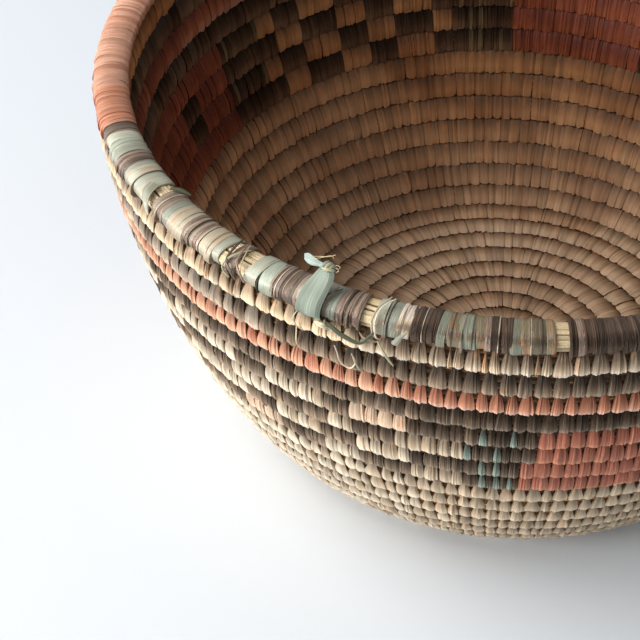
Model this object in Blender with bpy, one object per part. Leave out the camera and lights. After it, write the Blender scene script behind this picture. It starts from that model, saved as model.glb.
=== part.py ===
"""Coiled grass basket: one spiral bundle of grass, sewn round by round with leaf strip.

The bundle starts at a button in the middle of the base, winds outwards over the base
and climbs the wall. Each round of the wall has its own sleeve of leaf stitching. The
last loop is a thicker bundle, the rim, which is bound with short lengths of dyed leaf.
Units are metres, +Z is up, and the origin is on the floor under the basket's middle.
"""
import math

import bpy
import bmesh
import numpy as np
from mathutils import Vector

# Overall form
RIM_RADIUS = 0.150
WALL_HEIGHT = 0.1458
BASE_RADIUS = 0.0863
RISE_POWER = 1.428
BELLY_POWER = 0.635
SEAM_DEGREES = 60.0

# The sewn coil
COIL_TURNS = 24
BASE_TURNS = 8
ROUND_THICKNESS = 0.0098
ROUND_GAP = 0.0005
STITCH_LEAF = 0.0011
CORE_GAP = 0.00045
BUTTON_RADIUS = 0.0060
BUTTON_CHAMFER = 0.0012
FIT_GAP = 0.0003

# Sections of the coil in one turn
TURN_POINTS = 24

# The rim
RIM_WIDTH = 0.0132
RIM_HEIGHT = 0.0090
WRAP_LEAF = 0.0009
RIM_STEP_DEGREES = 12.0
RIM_TAPER_DEGREES = 45.0
RIM_TIP_SHARE = 0.35

# The wall's top lies this much outside the rim's middle, so that round and bundle end flush outside
WALL_LEAN_IN = RIM_WIDTH / 2 - WRAP_LEAF - ROUND_THICKNESS / 2

# The sage strip's knotted tail
TAIL_DEGREES = 241.9
TAIL_RISE = 0.0075
TAIL_REACH = 0.0100
TAIL_WIDTH = 0.0030
TAIL_LEAF = 0.0008

# The loose end of dark leaf under the rim
LOOSE_DEGREES = 242.4
LOOSE_REACH = 0.0136
LOOSE_SAG = 0.0052
LOOSE_WIDTH = 0.0016
LOOSE_LEAF = 0.0005

# Sections, as shares of the half height along the wall and the half thickness across it
WALL_SECTION_SHARES = [(0, 1), (1, 0.5), (1, -0.5), (0, -1), (-1, -0.5), (-1, 0.5)]
BASE_SECTION_SHARES = [(-0.5, 1), (0.5, 1), (1, 0), (0.5, -1), (-0.5, -1), (-1, 0)]
CORE_SECTION_SHARES = [(0, 1), (1, 0), (0, -1), (-1, 0)]
RIM_SECTION_SHARES = [
    (0.41, 0.96), (0.96, 0.41), (0.96, -0.41), (0.41, -0.96),
    (-0.41, -0.96), (-0.96, -0.41), (-0.96, 0.41), (-0.41, 0.96),
]
BUNDLE_SECTION_SHARES = [(0, 1), (0.9, 0.5), (0.9, -0.5), (0, -1), (-0.9, -0.5), (-0.9, 0.5)]

# The knotted tail's line: shares of its reach along the rim, its rise and the rim's width
TAIL_SHARES = [
    (0, 0.06, -0.04), (0.05, 0.45, -0.10), (0.35, 0.68, -0.14), (0.68, 0.86, -0.18), (1, 1, -0.2),
]

# The loose strip's line: shares of its reach along the rim and of its sag
LOOSE_SHARES = [(0, 0), (0.2, 0.55), (0.45, 0.9), (0.7, 1), (0.88, 0.8), (1, 0.4)]

# Colours of leaf and straw
COLOURS = {
    "natural": (0.66, 0.52, 0.34),
    "charcoal": (0.10, 0.085, 0.075),
    "coral": (0.60, 0.20, 0.12),
    "patterned": (0.22, 0.17, 0.13),
    "brown": (0.17, 0.12, 0.10),
    "sage": (0.30, 0.34, 0.26),
    "green": (0.10, 0.13, 0.09),
    "straw": (0.72, 0.58, 0.36),
    "grass": (0.38, 0.26, 0.14),
}
LEAF_ROUGHNESS = 0.55
GRASS_ROUGHNESS = 0.8
SHARP_DEGREES = 35.0

# The rounds from the rim down, and what the rest of the wall is
ROUND_COLOURS = ["natural", "charcoal", "coral", "charcoal", *["patterned"] * 4]
LOWER_COLOUR = "natural"

# The rim's bindings: colour, first and last degree round the basket
RIM_WRAPS = [
    ("coral", 60.0, 196.0),
    ("brown", 196.0, 198.5),
    ("sage", 198.5, 203.0),
    ("brown", 203.0, 205.5),
    ("sage", 205.5, 211.0),
    ("brown", 213.0, 215.5),
    ("sage", 215.5, 219.5),
    ("brown", 219.5, 222.5),
    ("sage", 222.5, 226.5),
    ("brown", 227.5, 229.0),
    ("sage", 231.0, 234.3),
    ("brown", 234.3, 238.0),
    ("sage", 238.0, 242.5),
    ("sage", 243.0, 244.5),
    ("brown", 244.5, 246.3),
    ("sage", 247.7, 250.7),
    ("natural", 250.7, 252.3),
    ("brown", 252.3, 255.7),
    ("sage", 255.7, 260.8),
    ("brown", 260.8, 263.8),
    ("sage", 263.8, 268.6),
    ("brown", 270.5, 290.0),
    ("sage", 290.0, 312.0),
    ("coral", 314.0, 360.0),
    ("brown", 360.0, 385.0),
    ("sage", 385.0, 414.0),
]


def clear_scene():
    for thing in list(bpy.data.objects):
        bpy.data.objects.remove(thing, do_unlink=True)


def make_materials():
    """One finish for each colour of leaf, and one each for straw and grass."""
    materials = {}
    for name, colour in COLOURS.items():
        material = bpy.data.materials.new(name)
        material.use_nodes = True
        shader = material.node_tree.nodes["Principled BSDF"]
        shader.inputs["Base Color"].default_value = (*colour, 1.0)
        shader.inputs["Metallic"].default_value = 0.0
        rough = GRASS_ROUGHNESS if name in ("straw", "grass") else LEAF_ROUGHNESS
        shader.inputs["Roughness"].default_value = rough
        material.diffuse_color = (*colour, 1.0)
        materials[name] = material
    return materials


def wall_profile(samples=2000):
    """The bowl's line from the middle of the base to the rim: length along it, radius, height."""
    rise = np.linspace(0.0, 1.0, samples) ** 2
    top_radius = RIM_RADIUS + WALL_LEAN_IN
    radius = BASE_RADIUS + (top_radius - BASE_RADIUS) * (1.0 - (1.0 - rise) ** RISE_POWER) ** BELLY_POWER
    height = WALL_HEIGHT * rise
    radius = np.concatenate([[0.0], radius])
    height = np.concatenate([[0.0], height])
    length = np.concatenate([[0.0], np.cumsum(np.hypot(np.diff(radius), np.diff(height)))])
    return length, radius, height


class Spiral:
    """The coil's centre line, read at any turn counted from the button."""

    def __init__(self):
        self.length, self.radius, self.height = wall_profile()
        self.whole = self.length[-1]
        # The turns share what lies between the button and the rim
        sewn = self.whole - RIM_HEIGHT / 2 - BUTTON_RADIUS - ROUND_GAP
        self.pitch = sewn / (COIL_TURNS + 0.5)
        self.round_height = self.pitch - ROUND_GAP
        self.start = BUTTON_RADIUS + ROUND_GAP + self.round_height / 2

    def angle(self, turn):
        return math.radians(SEAM_DEGREES) + math.tau * turn

    def line_point(self, along):
        """Radius, height and slope at a length along the bowl's line; above the wall it goes straight up."""
        over = max(0.0, along - self.whole)
        inside = min(along, self.whole)
        radius = float(np.interp(inside, self.length, self.radius))
        height = float(np.interp(inside, self.length, self.height)) + over
        reach = self.pitch / 2
        low = max(inside - reach, 0.0)
        high = min(inside + reach, self.whole)
        run = float(np.interp(high, self.length, self.radius) - np.interp(low, self.length, self.radius))
        rise = float(np.interp(high, self.length, self.height) - np.interp(low, self.length, self.height))
        if over > 0.0:
            run, rise = 0.0, 1.0
        size = math.hypot(run, rise)
        return radius, height, run / size, rise / size

    def frame(self, turn, along):
        """Centre of a section, with its directions up the wall and out of the bowl."""
        radius, height, run, rise = self.line_point(along)
        angle = self.angle(turn)
        out = Vector((math.cos(angle), math.sin(angle), 0.0))
        centre = out * radius + Vector((0.0, 0.0, height + ROUND_THICKNESS / 2))
        up_wall = out * run + Vector((0.0, 0.0, rise))
        outward = out * rise - Vector((0.0, 0.0, run))
        return centre, up_wall, outward

    def coil_frame(self, turn):
        return self.frame(turn, self.start + self.pitch * turn)

    def flat_frame(self, turn):
        """The coil's frame on its straight run between two neighbouring sections."""
        first = math.floor(turn * TURN_POINTS)
        share = turn * TURN_POINTS - first
        here = self.coil_frame(first / TURN_POINTS)
        there = self.coil_frame((first + 1) / TURN_POINTS)
        return [near.lerp(far, share) for near, far in zip(here, there)]

    def turn_for(self, gap, turn):
        """The share of a turn that a gap along the coil takes up there."""
        centre, _, _ = self.coil_frame(turn)
        return gap / (math.tau * math.hypot(centre.x, centre.y))


def section(shares, half_height, half_thickness):
    return [(up * half_height, out * half_thickness) for up, out in shares]


def ring_points(frame, outline):
    centre, up_wall, outward = frame
    return [centre + up_wall * up + outward * out for up, out in outline]


def coil_ring(spiral, turn, outline):
    """A section of the coil, bent to the bowl's line so that neighbouring loops stay parallel."""
    along = spiral.start + spiral.pitch * turn
    points = []
    for up, out in outline:
        centre, _, outward = spiral.frame(turn, along + up)
        points.append(centre + outward * out)
    return points


def finish_object(name, mesh, material, root):
    mesh.normal_update()
    bmesh.ops.recalc_face_normals(mesh, faces=mesh.faces[:])
    data = bpy.data.meshes.new(name)
    mesh.to_mesh(data)
    mesh.free()
    data.materials.append(material)
    data.shade_smooth()
    data.set_sharp_from_angle(angle=math.radians(SHARP_DEGREES))
    thing = bpy.data.objects.new(name, data)
    bpy.context.scene.collection.objects.link(thing)
    thing.parent = root
    return thing


def skin(mesh, rings):
    """Side faces between neighbouring rings of one tube."""
    count = len(rings[0])
    for first, second in zip(rings, rings[1:]):
        for corner in range(count):
            after = (corner + 1) % count
            mesh.faces.new((first[corner], first[after], second[after], second[corner]))


def hollow_cap(mesh, outer, inner):
    """The end of a sleeve: faces from its outer ring to its inner one."""
    count = len(outer)
    partner = [int(corner * len(inner) / count + 0.5) % len(inner) for corner in range(count)]
    for corner in range(count):
        after = (corner + 1) % count
        near, far = partner[corner], partner[after]
        if near == far:
            mesh.faces.new((outer[corner], outer[after], inner[near]))
        else:
            mesh.faces.new((outer[corner], outer[after], inner[far], inner[near]))


def make_tube(name, outer_rings, inner_rings, material, root):
    """A solid tube through rings of points, or a sleeve where inner rings are given."""
    mesh = bmesh.new()
    outer = [[mesh.verts.new(point) for point in ring] for ring in outer_rings]
    skin(mesh, outer)
    if inner_rings:
        inner = [[mesh.verts.new(point) for point in ring] for ring in inner_rings]
        skin(mesh, inner)
        hollow_cap(mesh, outer[0], inner[0])
        hollow_cap(mesh, outer[-1], inner[-1])
    else:
        mesh.faces.new(outer[0])
        mesh.faces.new(outer[-1])
    return finish_object(name, mesh, material, root)


def coil_turns(first, last):
    """The turns at which the coil's sections stand, the same round the basket on every loop."""
    steps = round((last - first) * TURN_POINTS)
    return [first + step / TURN_POINTS for step in range(steps + 1)]


def stitched_round(name, spiral, first, last, shares, material, root):
    """The leaf stitching over a stretch of the coil: a sleeve with room for the bundle."""
    turns = coil_turns(first, last)
    turns[0] += spiral.turn_for(FIT_GAP, first)
    turns[-1] -= spiral.turn_for(FIT_GAP / 2, last)
    half_height = spiral.round_height / 2
    half_thickness = ROUND_THICKNESS / 2
    outer = section(shares, half_height, half_thickness)
    inner = section(CORE_SECTION_SHARES, half_height - STITCH_LEAF, half_thickness - STITCH_LEAF)
    outer_rings = [coil_ring(spiral, turn, outer) for turn in turns]
    inner_rings = [coil_ring(spiral, turn, inner) for turn in turns]
    make_tube(name, outer_rings, inner_rings, material, root)
    return outer_rings


def foundation_coil(spiral, material, root):
    """The grass bundle inside the stitching, one unbroken tube from the button to the rim."""
    turns = coil_turns(0, COIL_TURNS)
    turns[0] += spiral.turn_for(FIT_GAP, 0)
    turns[-1] -= spiral.turn_for(FIT_GAP / 2, COIL_TURNS)
    half_height = spiral.round_height / 2 - STITCH_LEAF - CORE_GAP
    half_thickness = ROUND_THICKNESS / 2 - STITCH_LEAF - CORE_GAP
    outline = section(CORE_SECTION_SHARES, half_height, half_thickness)
    rings = [coil_ring(spiral, turn, outline) for turn in turns]
    make_tube("foundation_coil", rings, None, material, root)
    return rings


def start_button(spiral, material, root):
    """The knot in the middle of the base, shaped like a snail to meet the coil's first loop."""
    mesh = bmesh.new()
    levels = [
        (0.0, BUTTON_CHAMFER),
        (BUTTON_CHAMFER, 0.0),
        (ROUND_THICKNESS - BUTTON_CHAMFER, 0.0),
        (ROUND_THICKNESS, BUTTON_CHAMFER),
    ]
    rings = []
    for height, inset in levels:
        ring = []
        for step in range(TURN_POINTS + 1):
            turn = step / TURN_POINTS
            radius = BUTTON_RADIUS + spiral.pitch * turn - inset
            angle = spiral.angle(turn)
            ring.append(mesh.verts.new((radius * math.cos(angle), radius * math.sin(angle), height)))
        rings.append(ring)
    skin(mesh, rings)
    mesh.faces.new(rings[0])
    mesh.faces.new(rings[-1])
    return finish_object("start_button", mesh, material, root)


def rim_scale(degrees):
    """How full the rim bundle is: it thins out to a tip where the coil ends."""
    left = SEAM_DEGREES + 360.0 - degrees
    if left >= RIM_TAPER_DEGREES:
        return 1.0
    return RIM_TIP_SHARE + (1.0 - RIM_TIP_SHARE) * left / RIM_TAPER_DEGREES


def rim_frame(spiral, degrees):
    """A section of the rim bundle, which sits on the top round all the way."""
    turn = (degrees - SEAM_DEGREES) / 360.0
    seat = spiral.round_height / 2 + ROUND_GAP + RIM_HEIGHT / 2 * rim_scale(degrees)
    along = spiral.start + spiral.pitch * (COIL_TURNS - 1 + turn) + seat
    centre, up_wall, outward = spiral.frame(turn, along)
    return centre - outward * WALL_LEAN_IN, up_wall, outward


def rim_ring(spiral, degrees, shares, inset):
    scale = rim_scale(degrees)
    outline = section(shares, RIM_HEIGHT / 2 * scale - inset, RIM_WIDTH / 2 * scale - inset)
    return ring_points(rim_frame(spiral, degrees), outline)


def rim_stations():
    """Degrees at which the rim's sections stand: every end of a binding, and steps between."""
    marks = {SEAM_DEGREES, SEAM_DEGREES + 360.0, SEAM_DEGREES + 360.0 - RIM_TAPER_DEGREES}
    for _, first, last in RIM_WRAPS:
        marks.update((first, last))
    marks = sorted(marks)
    stations = [marks[0]]
    for first, last in zip(marks, marks[1:]):
        steps = max(1, math.ceil((last - first) / RIM_STEP_DEGREES))
        stations += [first + (last - first) * step / steps for step in range(1, steps + 1)]
    return stations


def rim_gap_degrees(gap):
    return math.degrees(gap / RIM_RADIUS)


def rim_bundle(spiral, stations, material, root):
    """The coil's last and thickest loop."""
    degrees = list(stations)
    degrees[0] += rim_gap_degrees(FIT_GAP / 2)
    inset = WRAP_LEAF + FIT_GAP
    rings = [rim_ring(spiral, spot, BUNDLE_SECTION_SHARES, inset) for spot in degrees]
    make_tube("rim_bundle", rings, None, material, root)


def rim_wraps(spiral, stations, materials, root):
    """Short lengths of dyed leaf bound round the rim bundle."""
    for number, (colour, first, last) in enumerate(RIM_WRAPS, start=1):
        inner_spots = [spot for spot in stations if first < spot < last]
        trim = rim_gap_degrees(FIT_GAP / 2)
        spots = [first + trim, *inner_spots, last - trim]
        outer_rings = [rim_ring(spiral, spot, RIM_SECTION_SHARES, 0.0) for spot in spots]
        inner_rings = [rim_ring(spiral, spot, BUNDLE_SECTION_SHARES, WRAP_LEAF) for spot in spots]
        make_tube(f"rim_wrap_{number:02d}_{colour}", outer_rings, inner_rings, materials[colour], root)


def ribbon(name, spots, width, leaf, material, root):
    """A flat strip of leaf through spots that give its centre, its width's and its face's direction."""
    rings = []
    for centre, across, face in spots:
        side = across * (width / 2)
        lift = face * (leaf / 2)
        rings.append([centre - side - lift, centre + side - lift, centre + side + lift, centre - side + lift])
    return make_tube(name, rings, None, material, root)


def knot_tail(spiral, material, root):
    """The twisted end of the broad sage strip, which stands up from the top of the rim."""
    spots = []
    for reach, rise, out in TAIL_SHARES:
        degrees = TAIL_DEGREES - math.degrees(reach * TAIL_REACH / RIM_RADIUS)
        centre, up_wall, outward = rim_frame(spiral, degrees)
        top = RIM_HEIGHT / 2 + FIT_GAP
        spot = centre + up_wall * (top + rise * TAIL_RISE) + outward * (out * RIM_WIDTH)
        along = up_wall.cross(outward).normalized()
        spots.append((spot, outward, along))
    return ribbon("knot_tail", spots, TAIL_WIDTH, TAIL_LEAF, material, root)


def loose_strip(spiral, material, root):
    """The loose end of dark leaf that lies in a flat loop over the top round."""
    spots = []
    for reach, sag in LOOSE_SHARES:
        degrees = LOOSE_DEGREES + math.degrees(reach * LOOSE_REACH / RIM_RADIUS)
        turn = COIL_TURNS - 1 + (degrees - SEAM_DEGREES) / 360.0
        centre, up_wall, outward = spiral.flat_frame(turn)
        drop = spiral.round_height / 2 - LOOSE_WIDTH / 2 - sag * LOOSE_SAG
        stand_off = ROUND_THICKNESS / 2 + FIT_GAP + LOOSE_LEAF / 2
        spots.append((centre + up_wall * drop + outward * stand_off, up_wall, outward))
    return ribbon("loose_strip", spots, LOOSE_WIDTH, LOOSE_LEAF, material, root)


def edge_samples(ring, steps=4):
    """Points along the sides of a section."""
    points = []
    for first, second in zip(ring, ring[1:] + ring[:1]):
        points += [first.lerp(second, step / steps) for step in range(steps)]
    return np.array(points)


def least_gap(rings):
    """The least gap between a coil's neighbouring loops, measured on points of their sections."""
    samples = [edge_samples(ring) for ring in rings]
    least = math.inf
    for here, there in zip(samples, samples[TURN_POINTS:]):
        apart = np.linalg.norm(here[:, None, :] - there[None, :, :], axis=2)
        least = min(least, float(apart.min()))
    return least


def print_gap(name, rings):
    print(f"{name}: least gap to itself {least_gap(rings) * 1000:.2f} mm")


def main():
    clear_scene()
    materials = make_materials()
    root = bpy.data.objects.new("coiled_basket", None)
    bpy.context.scene.collection.objects.link(root)
    spiral = Spiral()
    start_button(spiral, materials["natural"], root)
    core = foundation_coil(spiral, materials["grass"], root)
    print_gap("foundation_coil", core)
    base = stitched_round(
        "base_stitching", spiral, 0, BASE_TURNS, BASE_SECTION_SHARES, materials["natural"], root
    )
    print_gap("base_stitching", base)
    wall = []
    for number in range(1, COIL_TURNS - BASE_TURNS + 1):
        colour = ROUND_COLOURS[number - 1] if number <= len(ROUND_COLOURS) else LOWER_COLOUR
        last = COIL_TURNS - number + 1
        name = f"round_{number:02d}_{colour}"
        rings = stitched_round(name, spiral, last - 1, last, WALL_SECTION_SHARES, materials[colour], root)
        wall = rings[:-1] + wall
    print_gap("wall rounds", base[:-1] + wall)
    stations = rim_stations()
    rim_bundle(spiral, stations, materials["straw"], root)
    rim_wraps(spiral, stations, materials, root)
    knot_tail(spiral, materials["sage"], root)
    loose_strip(spiral, materials["green"], root)
    print(f"pitch of the coil {spiral.pitch * 1000:.3f} mm")


main()
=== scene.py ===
"""The coiled basket's looks: leaf stitches over a grass bundle, a rim bound in dyed leaf, and loose ends.

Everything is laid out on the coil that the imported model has: a line that winds from the button
in the middle of the base, over the base and up the wall, to the rim. Lengths are metres, angles
round the basket are degrees, and +Z is up.
"""

import math

import bpy
import numpy as np
from bpy.props import FloatProperty, FloatVectorProperty, PointerProperty
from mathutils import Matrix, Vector


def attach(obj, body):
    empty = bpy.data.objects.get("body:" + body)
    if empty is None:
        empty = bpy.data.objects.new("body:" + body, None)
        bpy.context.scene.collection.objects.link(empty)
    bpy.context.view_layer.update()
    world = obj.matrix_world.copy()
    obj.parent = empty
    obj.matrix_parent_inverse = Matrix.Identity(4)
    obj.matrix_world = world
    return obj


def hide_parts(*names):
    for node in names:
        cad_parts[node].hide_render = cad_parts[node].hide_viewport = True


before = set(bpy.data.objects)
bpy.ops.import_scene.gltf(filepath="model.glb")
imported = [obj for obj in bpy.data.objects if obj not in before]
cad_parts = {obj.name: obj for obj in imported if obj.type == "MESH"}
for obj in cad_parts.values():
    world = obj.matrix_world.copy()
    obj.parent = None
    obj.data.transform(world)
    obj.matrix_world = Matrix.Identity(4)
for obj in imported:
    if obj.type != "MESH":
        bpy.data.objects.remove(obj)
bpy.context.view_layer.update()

bl_info = {
    "name": "Coiled basket",
    "version": (1, 0, 0),
    "blender": (4, 5, 0),
    "location": "3D View > Sidebar > Basket",
    "description": "Sews the leaf stitches of a coiled grass basket and binds its rim",
    "category": "Add Mesh",
}

# Seeds of the random draws; a round or a binding adds its number
WALL_SEED = 1000
BASE_SEED = 900
START_SEED = 800
BUNDLE_SEED = 700
BINDING_SEED = 600
THREAD_SEED = 599
STRAW_SEED = 500
KNOTTED_SEED = 400
LOOSE_SEED = 300

# The coil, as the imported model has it. The wall's upper rounds sit a little higher than an even
# pitch puts them, and what lies low over the table is pressed flat on it.
COIL_TURNS = 24
BASE_TURNS = 8
SEAM_DEGREES = 60.0
RISE_POWER = 1.428
BELLY_POWER = 0.635
PROFILE_SAMPLES = 2000
SNUG_RISE = 0.0014
SNUG_TURNS = (12.0, 15.0)
PRESSED_UP_TO = 0.0010
SHARP_DEGREES = 50.0

# A stitch, from its outer tip over the coil and down to its inner tip: place up the wall as a share
# of the pitch, stand-off as a share of the half thickness, width of a bell and of a bar as shares
# of its own place in the row, how much it is part of a tip, and its crown
STITCH_STATIONS = [
    (-0.525, 0.93, 0.97, 1.00, 1.00, 0.3),
    (-0.49, 0.98, 1.00, 1.00, 0.90, 0.5),
    (-0.41, 1.02, 1.00, 1.00, 0.55, 0.8),
    (-0.31, 1.03, 0.99, 1.00, 0.25, 0.9),
    (-0.20, 1.02, 0.98, 1.00, 0.08, 1.0),
    (-0.08, 0.99, 0.95, 0.93, 0.00, 1.0),
    (0.05, 0.93, 0.89, 0.74, 0.00, 1.1),
    (0.17, 0.84, 0.80, 0.63, 0.00, 1.2),
    (0.28, 0.72, 0.67, 0.60, 0.00, 1.2),
    (0.38, 0.58, 0.54, 0.60, 0.00, 1.1),
    (0.47, 0.40, 0.46, 0.60, 0.00, 0.9),
    (0.54, 0.20, 0.43, 0.60, 0.00, 0.7),
    (0.56, 0.00, 0.42, 0.60, 0.00, 0.5),
    (0.51, -0.54, 0.76, 0.78, 0.00, 0.4),
    (0.36, -0.80, 0.96, 0.96, 0.00, 0.3),
    (0.14, -0.93, 1.03, 1.03, 0.00, 0.3),
    (-0.12, -0.99, 1.04, 1.04, 0.00, 0.3),
    (-0.36, -0.98, 1.04, 1.04, 0.30, 0.2),
    (-0.60, -0.85, 1.04, 1.04, 1.00, 0.1),
]
STITCH_LEAF = 0.00040
STITCH_CROWN = 0.00048
STITCH_PLEAT = 0.00009
STITCH_FOLD = 0.00030
STITCH_LEAN = 0.03
LEAFLET_CUTS = 3
NEAR_COLUMNS = 13
FAR_COLUMNS = 7

# How uneven the stitches are: places and widths as shares of a place in the row, lengths at the
# tip as shares of the pitch, and roughness as a share of a pleat
SHARED_NUDGE = 0.14
OWN_NUDGE = 0.06
NECK_DEPTH = 0.5
NECK_SPREAD = 0.10
WIDTH_RANGE = (0.935, 1.015)
WIDTH_LIMITS = (0.15, 1.04)
LEAN_SPREAD = 0.07
CUT_RANGE = (-0.85, 1.6)
LEAST_LEAFLET = 0.2
LEAFLET_SPREAD = 0.022
POINT_SPREAD = 0.012
ROUNDING_RANGE = (0.02, 0.09)
FLARE_RANGE = (-0.02, 0.07)
FOLDED_OUT_SHARE = 0.7
ROUGHNESS = 0.25
LEAFLET_SHADE = 0.6

# Rounds from the rim down: the dye of the plain ones, the stitches in each, how low their outer
# tips reach as a share of the pitch, and how wide their bells' tops are
ROUND_DYES = {1: "natural", 2: "smoke", 3: "coral", 4: "charcoal"}
STITCH_COUNTS = [174, 174, 198, 190, 190, 190, 190, 190, 180, 180, 180, 180, 180, 162, 162, 148]
TIP_SHARES = {1: -0.28, 2: -0.39, 3: -0.37, 4: -0.38, 5: -0.42, 6: -0.48}
LOWEST_TIP = -0.525
NECK_SHARES = {1: 1.12, 2: 1.15, 3: 0.95, 4: 1.4, 5: 1.3, 6: 1.25, 7: 1.3, 8: 1.3}
FULL_NECKS = {1: 1.06, 2: 1.14, 3: 1.02}
FULL_UP_TO = (236.0, 256.0)
BELL_ROUNDS = 8
BASE_LEAF_WIDTH = 0.0044

# The stepped pattern of rounds 5 to 8: what lies round the basket, as last degrees; the width of a
# check, the share of teal leaf in a column, and a dark spot in the coral
MOTIF = [
    (25.0, "coral"), (33.0, "column"), (53.0, "check"), (61.0, "column"), (87.0, "coral"),
    (97.0, "column"), (138.5, "check"), (147.0, "column"), (185.0, "coral"), (193.0, "column"),
    (217.0, "check"), (298.0, "coral"), (306.0, "column"), (350.0, "check"), (358.0, "column"),
    (360.0, "coral"),
]
CHECK_DEGREES = 6.4
TEAL_SHARE = 0.35
DARK_SPOT = (157.0, 163.0)
DARK_SPOT_ROUNDS = (6, 7)

# The same rounds where they are seen from close by, and the single leaves of amber and teal there
NEAR_FROM = 217.0
NEAR_UP_TO = 298.0
NEAR_PATTERN = {
    5: [
        (225.5, "natural"), (231.5, "charcoal"), (239.5, "natural"), (244.5, "charcoal"),
        (250.5, "peach"), (269.2, "column"),
    ],
    6: [
        (224.0, "charcoal"), (231.5, "natural"), (239.3, "charcoal"), (244.3, "natural"),
        (250.0, "charcoal"), (259.5, "natural"), (268.9, "column"),
    ],
    7: [
        (225.0, "natural"), (230.5, "charcoal"), (238.5, "natural"), (244.0, "charcoal"),
        (252.0, "natural"), (259.5, "charcoal"), (267.2, "column"),
    ],
    8: [
        (223.0, "charcoal"), (230.5, "peach"), (238.0, "charcoal"), (244.0, "natural"),
        (251.3, "charcoal"), (258.5, "natural"), (265.8, "column"),
    ],
}
NEAR_AMBER = {1: [225.3, 228.9, 258.1, 261.3, 268.1]}
NEAR_TEAL = {5: [262.0, 265.7], 6: [260.7, 264.5], 7: [261.5, 263.0], 8: [261.0, 263.3, 265.3]}

# Teal and amber leaves are narrow: how near to its spot a stitch takes one, its neck, its share of
# the place in the row, and the leaf beside it
NARROW_REACH = 0.9
NARROW_NECK = 0.45
NARROW_LEAVES = {"teal": (0.53, "charcoal"), "amber": (0.36, "natural")}

# Leaf that the light has changed, as degrees and shares of the stitches; the bleached, apricot and faded
# leaf is lighter on the side that faces the lamps, partly by fading and partly as painted light; then, by
# round, the red stitches that kept their dye and the stretches that lost their leaf
WEATHERED_FROM = 150.0
WEATHERED_SHARE = 0.8
BROWNED_UP_TO = {2: 232.0, 4: 205.0}
CREAM_UP_TO = 247.0
BLEACHED_AND_LIT = ((150.0, 170.0, 232.0, 258.0), (0.0, 1.0, 1.0, 0.0))
APRICOT_AND_LIT = ((150.0, 165.0, 236.0, 256.0), (0.0, 0.9, 0.9, 0.0))
FADED_AND_LIT = ((160.0, 170.0, 238.0, 262.0), (0.0, 0.85, 0.85, 0.0))
RED_STITCHES = {3: (248.4, 249.9)}
BARE_STRETCHES = {3: [(245.0, 246.0), (246.9, 247.8)]}

# How strongly the leaf inside the bowl is darkened, partly by age and partly as painted shade: by
# round, less low down as painted light on the bowl's floor; by degrees, most on the back and right as
# painted shade; and in the base, less again
WALL_AGE_AND_SHADE = ((9, 16), (1.0, 0.68))
INSIDE_SHADE_BY_DEGREES = ((60, 105, 125, 170, 200, 300, 420), (1.0, 1.0, 0.82, 0.80, 0.84, 0.95, 1.0))
BASE_AGE_AND_SHADE = 0.48

# The knot in the middle of the base: its section from the middle above to the middle below, as
# shares of its radius and height, and its strips
KNOT_SECTION = [
    (0.02, 0.78), (0.10, 0.90), (0.30, 0.97), (0.55, 1.00), (0.80, 0.96), (0.96, 0.80), (1.00, 0.50),
    (0.96, 0.20), (0.80, 0.05), (0.55, 0.00), (0.30, 0.03), (0.10, 0.08), (0.02, 0.15),
]
KNOT_STRIPS = 13
KNOT_COLUMNS = 5
KNOT_REACH = 0.52
KNOT_PLEAT = 0.00012
KNOT_CROWN = 0.00030
KNOT_LINING = 0.9
KNOT_SHADE = 0.7

# The grass bundle: its ridged section, and how deep it lies behind the stitches and how dark it is, by turn;
# the grass is painted dark as shade in the gaps between stitches, deepest in the upper rounds
BUNDLE_SIDES = 24
BUNDLE_STATIONS = 90
BUNDLE_HOLLOW = 0.94
BUNDLE_RIDGE = 0.12
BUNDLE_SPREAD = 0.02
BUNDLE_OVERRUN = 0.0001
BUNDLE_DEPTHS = ((15.0, 16.0), (0.0008, 0.0013))
BUNDLE_SHADES = ((14.5, 16.0), (0.0, 0.25))
STALK_WIDTH = 0.55
STALK_LENGTH = 0.5

# The rim's bindings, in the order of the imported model's: first and last degrees of each
BINDING_SPANS = [
    (60.0, 196.0), (196.0, 198.5), (198.5, 203.0), (203.0, 205.5), (205.5, 211.0), (213.0, 215.5),
    (215.5, 219.5), (219.5, 222.5), (222.5, 226.5), (227.5, 229.0), (231.0, 234.3), (234.3, 238.0),
    (238.0, 242.5), (242.5, 243.2), (243.2, 246.2), (247.9, 250.8), (250.8, 252.3), (252.3, 255.6),
    (255.6, 260.8), (260.8, 264.0), (264.0, 268.8), (270.5, 290.0), (290.0, 312.0), (314.0, 360.0),
    (360.0, 385.0), (385.0, 414.0),
]
BINDING_WIDTHS = {"coral": 0.59, "brown": 0.45, "sage": 1.35, "natural": 0.75}
BINDING_DYES = {
    "coral": ["coral_rim", "rust_rim"], "brown": ["brown", "umber"], "sage": ["sage", "mint"],
    "natural": ["natural", "sage"],
}
OTHER_BINDING_DYES = {
    6: ["fawn", "brown"], 7: ["dun", "sage"], 8: ["fawn", "brown"], 9: ["dun", "sage"],
    10: ["fawn", "brown"], 12: ["fawn", "brown"], 18: ["umber", "brown"], 19: ["moss", "olive"],
    20: ["umber", "brown"], 21: ["olive", "moss"], 22: ["umber", "brown"],
}
SECOND_DYE_SHARES = {"coral": 0.10, "brown": 0.15, "sage": 0.25, "natural": 0.0}
RUST_BINDING = 1
RUST_FROM = 187.5
RUST_SHARE = 0.9

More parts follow.
